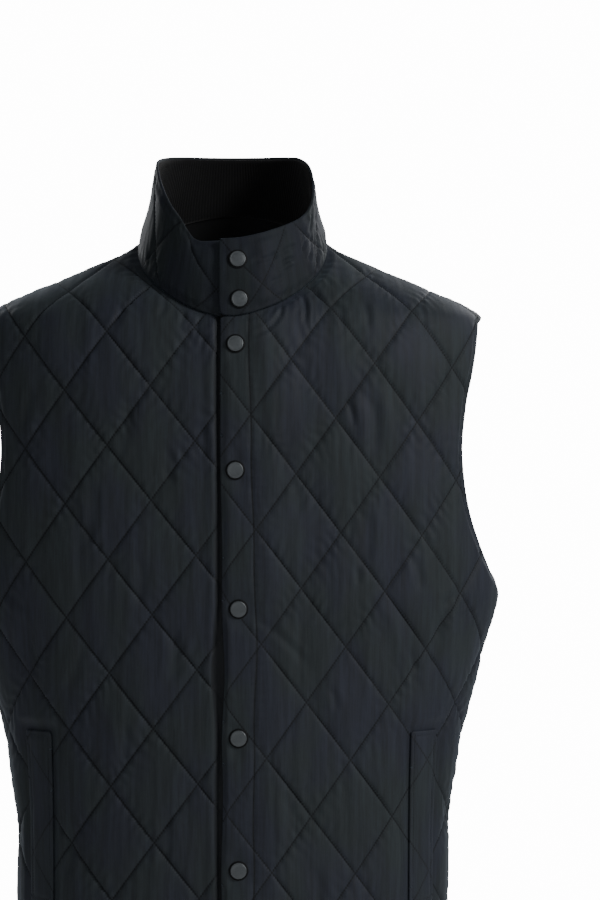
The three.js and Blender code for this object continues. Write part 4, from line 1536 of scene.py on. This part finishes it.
def stitch_tree(material):
    """Stitches of a set length in a row along every line, each tilted a little."""
    tree = bpy.data.node_groups.new("stitches", "GeometryNodeTree")
    face = tree.interface
    face.new_socket("Geometry", in_out="INPUT", socket_type="NodeSocketGeometry")
    for title in ("Pitch", "Length", "Width"):
        face.new_socket(title, in_out="INPUT", socket_type="NodeSocketFloat")
    face.new_socket("Geometry", in_out="OUTPUT", socket_type="NodeSocketGeometry")
    add = tree.nodes.new
    given = add("NodeGroupInput")
    curve = add("GeometryNodeMeshToCurve")
    points = add("GeometryNodeCurveToPoints")
    points.mode = "LENGTH"
    bead = add("GeometryNodeMeshUVSphere")
    bead.inputs["Segments"].default_value = STITCH_SIDES
    bead.inputs["Rings"].default_value = STITCH_RINGS
    bead.inputs["Radius"].default_value = 0.5
    size = add("ShaderNodeCombineXYZ")
    shaped = add("GeometryNodeTransform")
    tilt = add("FunctionNodeRandomValue")
    tilt.data_type = "FLOAT_VECTOR"
    tilt.inputs["Min"].default_value = (-STITCH_TILT, -STITCH_TILT, 0.0)
    tilt.inputs["Max"].default_value = (STITCH_TILT, STITCH_TILT, 1.0)
    tilt.inputs["Seed"].default_value = STITCH_SEED
    turned = add("FunctionNodeEulerToRotation")
    rotated = add("FunctionNodeRotateRotation")
    rotated.rotation_space = "LOCAL"
    laid = add("GeometryNodeInstanceOnPoints")
    real = add("GeometryNodeRealizeInstances")
    look = add("GeometryNodeSetMaterial")
    look.inputs["Material"].default_value = material
    result = add("NodeGroupOutput")
    links = (
        (given, "Geometry", curve, "Mesh"),
        (curve, "Curve", points, "Curve"),
        (given, "Pitch", points, "Length"),
        (given, "Width", size, "X"),
        (given, "Width", size, "Y"),
        (given, "Length", size, "Z"),
        (bead, "Mesh", shaped, "Geometry"),
        (size, "Vector", shaped, "Scale"),
        (tilt, "Value", turned, "Euler"),
        (points, "Rotation", rotated, "Rotation"),
        (turned, "Rotation", rotated, "Rotate By"),
        (points, "Points", laid, "Points"),
        (shaped, "Geometry", laid, "Instance"),
        (rotated, "Rotation", laid, "Rotation"),
        (laid, "Instances", real, "Geometry"),
        (real, "Geometry", look, "Geometry"),
        (look, "Geometry", result, "Geometry"),
    )
    for source, output, target, entry in links:
        tree.links.new(source.outputs[output], target.inputs[entry])
    return tree


def set_inputs(modifier, tree, values):
    for item in tree.interface.items_tree:
        if item.in_out == "INPUT" and item.name in values:
            modifier[item.identifier] = values[item.name]


def stitches(name, lines, form, outer, tree):
    """Stitches along flat lines, lying on the cloth's outer face."""
    points, edges, count = [], [], 0
    for line in lines:
        u, v = line[:, 0], line[:, 1]
        points.append(form.place(u, v, outer(u, v) + STITCH_WIDE * STITCH_STANDS))
        here = np.arange(count, count + len(line) - 1)
        edges.append(np.stack([here, here + 1], axis=1))
        count += len(line)
    mesh = bpy.data.meshes.new(name + "_lines")
    mesh.from_pydata((np.concatenate(points) * MM).tolist(), np.concatenate(edges).tolist(), [])
    guide = new_object(name + "_lines", mesh)
    modifier = guide.modifiers.new("stitches", "NODES")
    modifier.node_group = tree
    sizes = {"Pitch": STITCH_PITCH * MM, "Length": STITCH_LENGTH * MM, "Width": STITCH_WIDE * MM}
    set_inputs(modifier, tree, sizes)
    seen = guide.evaluated_get(bpy.context.evaluated_depsgraph_get())
    made = bpy.data.meshes.new_from_object(seen)
    guide.modifiers.remove(modifier)
    bpy.data.objects.remove(guide)
    made.name = name
    made.polygons.foreach_set("use_smooth", np.ones(len(made.polygons), bool))
    return new_object(name, made)


# Materials

class Value:
    """A shader number that Python's own operators work on."""

    def __init__(self, maker, socket):
        self.maker = maker
        self.socket = socket

    def math(self, operation, *others):
        return self.maker.math(operation, self, *others)

    def __add__(self, other):
        return self.math("ADD", other)

    def __mul__(self, other):
        return self.math("MULTIPLY", other)

    def __sub__(self, other):
        return self.math("SUBTRACT", other)


class Maker:
    """Builds one material's nodes."""

    def __init__(self, name):
        self.material = bpy.data.materials.new(name)
        self.material.use_nodes = True
        self.tree = self.material.node_tree
        self.tree.nodes.clear()

    def node(self, kind, settings=None, values=None, output=0):
        node = self.tree.nodes.new(kind)
        for name, setting in (settings or {}).items():
            setattr(node, name, setting)
        for name, value in (values or {}).items():
            if isinstance(value, Value):
                self.tree.links.new(value.socket, node.inputs[name])
            else:
                node.inputs[name].default_value = value
        return Value(self, node.outputs[output]) if node.outputs else node

    def math(self, operation, *parts):
        return self.node("ShaderNodeMath", {"operation": operation}, dict(enumerate(parts)))

    def uv(self, title):
        return self.node("ShaderNodeUVMap", {"uv_map": title})

    def scaled(self, vector, scale, shift=(0.0, 0.0, 0.0)):
        return self.node("ShaderNodeMapping", None,
                         {"Vector": vector, "Scale": scale, "Location": shift})

    def noise(self, vector, scale, detail=2.0, roughness=0.5):
        return self.node("ShaderNodeTexNoise", {"noise_dimensions": "3D"},
                         {"Vector": vector, "Scale": scale, "Detail": detail,
                          "Roughness": roughness})

    def part(self, vector, axis):
        return self.node("ShaderNodeSeparateXYZ", None, {"Vector": vector}, output=axis)

    def band(self, value, low, high, bottom=0.0, top=1.0):
        return self.node("ShaderNodeMapRange", {"interpolation_type": "SMOOTHSTEP"},
                         {"Value": value, "From Min": low, "From Max": high,
                          "To Min": bottom, "To Max": top})

    def mix(self, share, first, second):
        return self.node("ShaderNodeMix", {"data_type": "RGBA"}, {0: share, 6: first, 7: second},
                         output=2)

    def bump(self, height, distance, strength):
        return self.node("ShaderNodeBump", None,
                         {"Height": height, "Distance": distance, "Strength": strength})

    def finish(self, **values):
        named = {name.replace("_", " "): value for name, value in values.items()}
        shader = self.node("ShaderNodeBsdfPrincipled", None, named)
        self.node("ShaderNodeOutputMaterial", None, {"Surface": shader})
        return self.material


# Each pair of colours runs from the material's darkest to its lightest places
SHELL_COLOURS = ((0.0092, 0.0110, 0.0172, 1), (0.0106, 0.0140, 0.0158, 1))
# Painted shade in the stitched lines' grooves and beside the placket's free edge
PAINTED_SHADE_COLOUR = (0.0032, 0.0040, 0.0054, 1)
LINING_COLOURS = ((0.0026, 0.0027, 0.0030, 1), (0.0048, 0.0050, 0.0054, 1))
PILE_COLOURS = ((0.0012, 0.0012, 0.0013, 1), (0.0050, 0.0050, 0.0053, 1))
PAINT_COLOURS = ((0.026, 0.030, 0.033, 1), (0.040, 0.046, 0.050, 1))
# The flange is near-black, as painted contact shadow under the cap's rim
FLANGE_SHADOW_COLOURS = ((0.0022, 0.0024, 0.0027, 1), (0.0036, 0.0040, 0.0044, 1))
# Near-black, partly the thread's own dark colour and partly painted shade of the sunk stitches
THREAD_SHADE_COLOURS = ((0.0009, 0.0011, 0.0015, 1), (0.0020, 0.0024, 0.0030, 1))
SHEEN_COLOUR = (0.6, 0.8, 1.0, 1)
# The shade painted in each quilting line narrows between stitches: how many stitches lie between
# crossings, and by how much
STITCHES_BETWEEN_CROSSINGS = 24.0
STITCH_BEAT = 0.03
STREAK_DARK = 0.62
STREAK_LIGHT = 1.3


def from_quilting_lines(make):
    """How far a place is from the nearest quilting line, in shares of their spacing, for the shade
    painted in the lines' grooves. The painted line narrows between its stitches."""
    place = make.uv("quilt")
    i, j = make.part(place, 0), make.part(place, 1)

    def to_whole(value):
        return make.math("ABSOLUTE", value - make.math("ROUND", value))

    def to_line(across, along):
        return to_whole(across) + to_whole(along * STITCHES_BETWEEN_CROSSINGS) * STITCH_BEAT

    return make.math("MINIMUM", to_line(i + j, i - j), to_line(i - j, i + j))


def shell_fabric(title, painted_shade_scale, gloss):
    """Dark woven cotton with a soft sheen, slubs that run up it and a faint mottling, with shade
    painted in the quilting lines' grooves, along the placket's stitch line and beside the placket's
    free edge.
    """
    make = Maker(title)
    cloth = make.uv("cloth")
    slubs = make.noise(make.scaled(cloth, (620.0, 30.0, 1.0)), 1.0, 3.0, 0.65)
    streaks = make.noise(make.scaled(cloth, (150.0, 10.0, 1.0), (3.0, 1.0, 0.0)), 1.0, 2.0)
    mottle = make.noise(make.scaled(cloth, (22.0, 12.0, 1.0), (7.0, 4.0, 0.0)), 1.0, 3.0)
    warp = make.noise(make.scaled(cloth, (2600.0, 240.0, 1.0)), 1.0, 1.0)
    weft = make.noise(make.scaled(cloth, (240.0, 2600.0, 1.0)), 1.0, 1.0)
    tint = make.mix(make.band(mottle, 0.35, 0.65), *SHELL_COLOURS)
    light = make.band(slubs * 0.55 + streaks * 0.45, 0.3, 0.7)
    # The whole cloth is scaled darker for the collar's copy, as painted shade
    low, high = STREAK_DARK * painted_shade_scale, STREAK_LIGHT * painted_shade_scale
    dark = make.mix(light, (low, low, low, 1), (high, high, high, 1))
    streaked = make.node("ShaderNodeMix", {"data_type": "RGBA", "blend_type": "MULTIPLY"},
                         {0: 1.0, 6: tint, 7: dark}, output=2)
    # Painted shade: the cloth is painted dark in the quilting lines' grooves, along the placket's
    # stitch line and beside the placket's free edge
    from_painted_shade = make.math("ABSOLUTE", make.part(make.uv("seam"), 0))
    outside_painted_shade = make.math("MINIMUM", make.band(from_quilting_lines(make), 0.009, 0.024),
                        make.band(from_painted_shade, 0.0003, 0.0012))
    colour = make.mix(outside_painted_shade, PAINTED_SHADE_COLOUR, streaked)
    height = warp * 0.5 + weft * 0.5 + slubs * 0.9
    rough = make.band(slubs * 0.5 + mottle * 0.5, 0.3, 0.7, 0.66, 0.8)
    return make.finish(Base_Color=colour, Roughness=rough, Normal=make.bump(height, 0.00016, 0.6),
                       Sheen_Weight=0.06, Sheen_Roughness=0.4, Sheen_Tint=SHEEN_COLOUR,
                       Specular_IOR_Level=gloss)


def lining_cloth():
    """The panels' plain dark inner side."""
    make = Maker("lining_cloth")
    cloth = make.uv("cloth")
    weave = make.noise(make.scaled(cloth, (900.0, 900.0, 1.0)), 1.0, 2.0)
    colour = make.mix(weave, *LINING_COLOURS)
    return make.finish(Base_Color=colour, Roughness=0.8, Normal=make.bump(weave, 0.0001, 0.5),
                       Specular_IOR_Level=0.12)


def corduroy():
    """Black cotton pile: each wale's crown catches light, the grooves stay deep."""
    make = Maker("corduroy")
    cloth = make.uv("cloth")
    fibres = make.noise(make.scaled(cloth, (1500.0, 420.0, 1.0)), 1.0, 3.0, 0.7)
    worn = make.noise(make.scaled(cloth, (40.0, 26.0, 1.0)), 1.0, 2.0)
    colour = make.mix(fibres * 0.6 + worn * 0.4, *PILE_COLOURS)
    return make.finish(Base_Color=colour, Roughness=0.92, Normal=make.bump(fibres, 0.0002, 0.7),
                       Sheen_Weight=0.07, Sheen_Roughness=0.5, Specular_IOR_Level=0.06)


def snap_paint():
    """Matte grey paint on pressed metal, a little brushed by wear."""
    make = Maker("snap_paint")
    place = make.node("ShaderNodeTexCoord", output=3)
    grain = make.noise(place, 2600.0, 3.0, 0.6)
    scuffs = make.noise(make.scaled(place, (260.0, 260.0, 900.0)), 1.0, 2.0)
    colour = make.mix(scuffs * 0.6 + grain * 0.4, *PAINT_COLOURS)
    rough = make.band(scuffs, 0.3, 0.7, 0.38, 0.52)
    return make.finish(Base_Color=colour, Roughness=rough, Metallic=0.25,
                       Normal=make.bump(grain, 0.00004, 0.4))


def snap_flange_shadow():
    """The cap's lower flange, coloured near-black as painted contact shadow, which shows as a thin
    dark ring round the cap.
    """
    make = Maker("snap_flange_shadow")
    place = make.node("ShaderNodeTexCoord", output=3)
    grain = make.noise(place, 2600.0, 2.0)
    colour = make.mix(grain, *FLANGE_SHADOW_COLOURS)
    return make.finish(Base_Color=colour, Roughness=0.7, Specular_IOR_Level=0.1)


def sewing_thread_shaded():
    """Thread darker than the cloth that it holds; most of that darkness is painted shade of the
    stitches sunk into the cloth.
    """
    make = Maker("sewing_thread_shaded")
    place = make.node("ShaderNodeTexCoord", output=3)
    twist = make.noise(place, 3200.0, 1.0)
    colour = make.mix(twist, *THREAD_SHADE_COLOURS)
    return make.finish(Base_Color=colour, Roughness=0.65, Specular_IOR_Level=0.2)


# Making the pieces

def held_cloth(piece, rows, node):
    """Attaches a cloth piece to the body and hides the part that it stands for. The flat cut's size
    and area are worked out but not kept.
    """
    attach(piece, BODY)
    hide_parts(node)
    size = (rows[:, :2].max(axis=0) - rows[:, :2].min(axis=0)) * MM
    area = outline_area(rows) * MM * MM


def sewn(piece):
    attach(piece, BODY)


def panel_height(cloth, form, creases, seed, puff=PUFF, crumple=1.0):
    quilting = Quilting(cloth.grid, puff, seed, crumple)
    return PanelHeight(cloth.outline, quilting, Creases(form, creases), seed + 20)


shell = shell_fabric("shell_fabric", 1.0, 0.2)
# The collar's copy of the shell cloth is painted darker, as painted shade where the collar lies, and
# is a little less glossy
collar_shaded_fabric = shell_fabric("collar_fabric_shaded", 0.7, 0.12)
lining = lining_cloth()
pile = corduroy()
paint = snap_paint()
flange = snap_flange_shadow()
thread = sewing_thread_shaded()
sewing = stitch_tree(thread)
panel_looks = [shell, lining]


def sew_front_left():
    rows = front_outline(1, OVERLAP_EDGE)
    cloth = FlatCloth(LEFT_GRID, rows, FRONT_CELLS)
    height = panel_height(cloth, front_form, FRONT_LEFT_CREASES, LEFT_SEED)
    outer = front_left_outer(height)
    drifting = DriftingForm()
    # The cloth is painted dark along the placket's stitch line, as painted shade of its groove
    piece = cloth_piece("left_front", drifting, cloth, left_lift, outer, panel_looks,
                        lambda u, v: u - placket_line(v))
    held_cloth(piece, rows, "front_left")
    low = rows[:, 1].min() + PLACKET_STITCH_ABOVE_HEM
    high = rows[rows[:, 2] == NECK, 1].min() - PLACKET_STITCH_BELOW_NECK
    v = np.arange(low, high, LINE_STEP)
    lines = quilting_lines(cloth, PANEL_STITCH_MARGIN)
    lines.append(np.stack([placket_line(v), v], axis=1))
    lines.append(armhole_stitches(front_form, 1))
    sewn(stitches("left_front_stitches", lines, drifting, outer, sewing))


def sew_front_right():
    rows = front_outline(-1, -UNDER_EDGE)
    cloth = FlatCloth(RIGHT_GRID, rows, FRONT_CELLS)
    height = panel_height(cloth, front_form, FRONT_RIGHT_CREASES, RIGHT_SEED)
    outer = front_right_outer(height)
    # The under panel is painted dark beside the placket's free edge, as painted shade of that edge's
    # shadow
    piece = cloth_piece("right_front", front_form, cloth, nothing, outer, panel_looks, from_slot_painted_shade)
    held_cloth(piece, rows, "front_right")
    lines = quilting_lines(cloth, PANEL_STITCH_MARGIN, lambda u, v: u > OVERLAP_EDGE)
    lines.append(armhole_stitches(front_form, -1))
    sewn(stitches("right_front_stitches", lines, front_form, outer, sewing))


def sew_back():
    rows = back_outline()
    cloth = FlatCloth(BACK_GRID, rows, BACK_CELLS)
    height = panel_height(cloth, back_form, BACK_CREASES, BACK_SEED)
    outer = back_outer(height)
    piece = cloth_piece("back_panel", back_form, cloth, nothing, outer, panel_looks)
    held_cloth(piece, rows, "back")
    lines = quilting_lines(cloth, PANEL_STITCH_MARGIN)
    lines += [armhole_stitches(back_form, side) for side in (1, -1)]
    sewn(stitches("back_stitches", lines, back_form, outer, sewing))


def sew_collar():
    rows = collar_outline()
    cloth = FlatCloth(COLLAR_GRID, rows, COLLAR_CELLS, COLLAR_EDGE_ROUND)
    height = panel_height(
        cloth, collar_form, COLLAR_CREASES, COLLAR_SEED, COLLAR_PUFF, COLLAR_CRUMPLE)
    outer = collar_outer(height)
    piece = cloth_piece("collar_shell", collar_form, cloth, collar_inner, outer, [collar_shaded_fabric])
    held_cloth(piece, rows, "collar")
    hidden = collar_form.around + OVERLAP_EDGE
    lines = quilting_lines(cloth, COLLAR_STITCH_MARGIN, lambda s, t: s > hidden)
    sewn(stitches("collar_stitches", lines, collar_form, outer, sewing))
    facing = corduroy_facing(pile)
    low, high = OVERLAP_EDGE + COLLAR_MARGIN, collar_end() - COLLAR_MARGIN
    cut = rectangle(low, FACING_LOW, high, FACING_TOP)
    held_cloth(facing, cut, "collar_facing")


def sew_welt(side, name, node):
    top = welt_top()
    ends = sorted((side * WELT_ACROSS, side * (WELT_ACROSS + WELT_WIDE)))
    rows = rectangle(ends[0], top - WELT_TALL, ends[1], top)
    cloth = FlatCloth(LEFT_GRID, rows, FRONT_CELLS, WELT_EDGE_ROUND)
    under = CLOTH_THICKNESS + SEAM_GAP + WELT_SLACK
    ripple = Noise(WELT_SEED + side)

    def outer(u, v):
        away, _, _, _ = cloth.outline.measure(np.stack([u, v], axis=1))
        groove = np.exp(-((away - WELT_STITCH_IN) / WELT_GROOVE_WIDE) ** 2)
        crown = WELT_CROWN * smoothstep(away, 1.0, 9.0) - WELT_GROOVE * groove
        soft = WELT_SOFT * ripple(u / 14.0, v / 21.0) * smoothstep(away, 1.0, 6.0)
        return under + WELT_THICKNESS + crown + soft

    piece = cloth_piece(name, front_form, cloth, lambda u, v: nothing(u, v) + under, outer, [shell])
    held_cloth(piece, rows, node)
    inset = WELT_STITCH_IN
    box = rectangle(ends[0] + inset, top - WELT_TALL + inset, ends[1] - inset, top - inset)[:, :2]
    loop = finer(np.concatenate([box, box[:1]]))
    sewn(stitches(name + "_stitches", [loop], front_form, outer, sewing))


def set_snaps():
    lining_height = FACING_THICKNESS + SEAM_GAP
    sets = (
        ("collar", collar_form, collar_snap_places(), lining_height),
        ("front", front_form, front_snap_places(), 0.0),
    )
    for part, form, places, lining in sets:
        for k, place in enumerate(places, 1):
            cap = snap_cap(f"{part}_snap_{k}", form, place, lining, [paint, flange])
            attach(cap, BODY)
            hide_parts(f"snap_{part}_{k}")


sew_front_left()
sew_front_right()
sew_back()
sew_collar()
sew_welt(1, "left_welt", "pocket_welt_left")
sew_welt(-1, "right_welt", "pocket_welt_right")
set_snaps()


# Stage, light and camera

FLOOR_HEIGHT = -1.45
FLOOR_RADIUS = 3.2
FLOOR_SIDES = 96
PAPER_COLOUR = (0.9, 0.9, 0.9, 1)
STUDIO_COLOUR = (0.93, 0.97, 1.0, 1)
STUDIO_GLOW = 0.3
BACKDROP_WHITE = 18.0
LIGHTS_AIM = (0.0, 0.0, -0.3)
# Each soft light's name, place, size and power
LIGHTS = (
    ("key", (2.4, -1.5, 1.3), 0.9, 113.0),
    ("fill", (-1.2, -3.0, 0.4), 2.0, 21.0),
    ("rim", (1.4, 1.9, 0.9), 1.2, 40.0),
    ("back_fill", (-1.6, 2.2, 0.7), 1.2, 40.0),
)
CAMERA_PLACE = (0.065, -3.130, -0.198)
CAMERA_LENS = 129.07


def studio_floor():
    turns = [2 * math.pi * k / FLOOR_SIDES for k in range(FLOOR_SIDES)]
    rim = [(FLOOR_RADIUS * math.cos(a), FLOOR_RADIUS * math.sin(a), FLOOR_HEIGHT) for a in turns]
    mesh = bpy.data.meshes.new("studio_floor")
    mesh.from_pydata(rim, [], [tuple(range(FLOOR_SIDES))])
    floor = new_object("studio_floor", mesh)
    make = Maker("studio_paper")
    mesh.materials.append(make.finish(Base_Color=PAPER_COLOUR, Roughness=0.9))


def soft_light(name, place, size, power):
    light = bpy.data.lights.new(name, "AREA")
    light.shape = "DISK"
    light.size = size
    light.energy = power
    lamp = new_object(name, light)
    lamp.location = place
    lamp.rotation_euler = (Vector(LIGHTS_AIM) - Vector(place)).to_track_quat("-Z", "Y").to_euler()


def studio():
    world = bpy.data.worlds.new("studio")
    bpy.context.scene.world = world
    world.use_nodes = True
    nodes, links = world.node_tree.nodes, world.node_tree.links
    glow = nodes["Background"]
    glow.inputs["Color"].default_value = STUDIO_COLOUR
    glow.inputs["Strength"].default_value = STUDIO_GLOW
    backdrop = nodes.new("ShaderNodeBackground")
    backdrop.inputs["Strength"].default_value = BACKDROP_WHITE
    chosen = nodes.new("ShaderNodeMixShader")
    links.new(nodes.new("ShaderNodeLightPath").outputs["Is Camera Ray"], chosen.inputs[0])
    links.new(glow.outputs[0], chosen.inputs[1])
    links.new(backdrop.outputs[0], chosen.inputs[2])
    links.new(chosen.outputs[0], nodes["World Output"].inputs["Surface"])
    for name, place, size, power in LIGHTS:
        soft_light(name, place, size, power)


def camera():
    data = bpy.data.cameras.new("camera")
    data.lens = CAMERA_LENS
    seen = new_object("camera", data)
    seen.location = CAMERA_PLACE
    seen.rotation_euler = (math.pi / 2, 0.0, 0.0)
    bpy.context.scene.camera = seen


studio_floor()
studio()
camera()
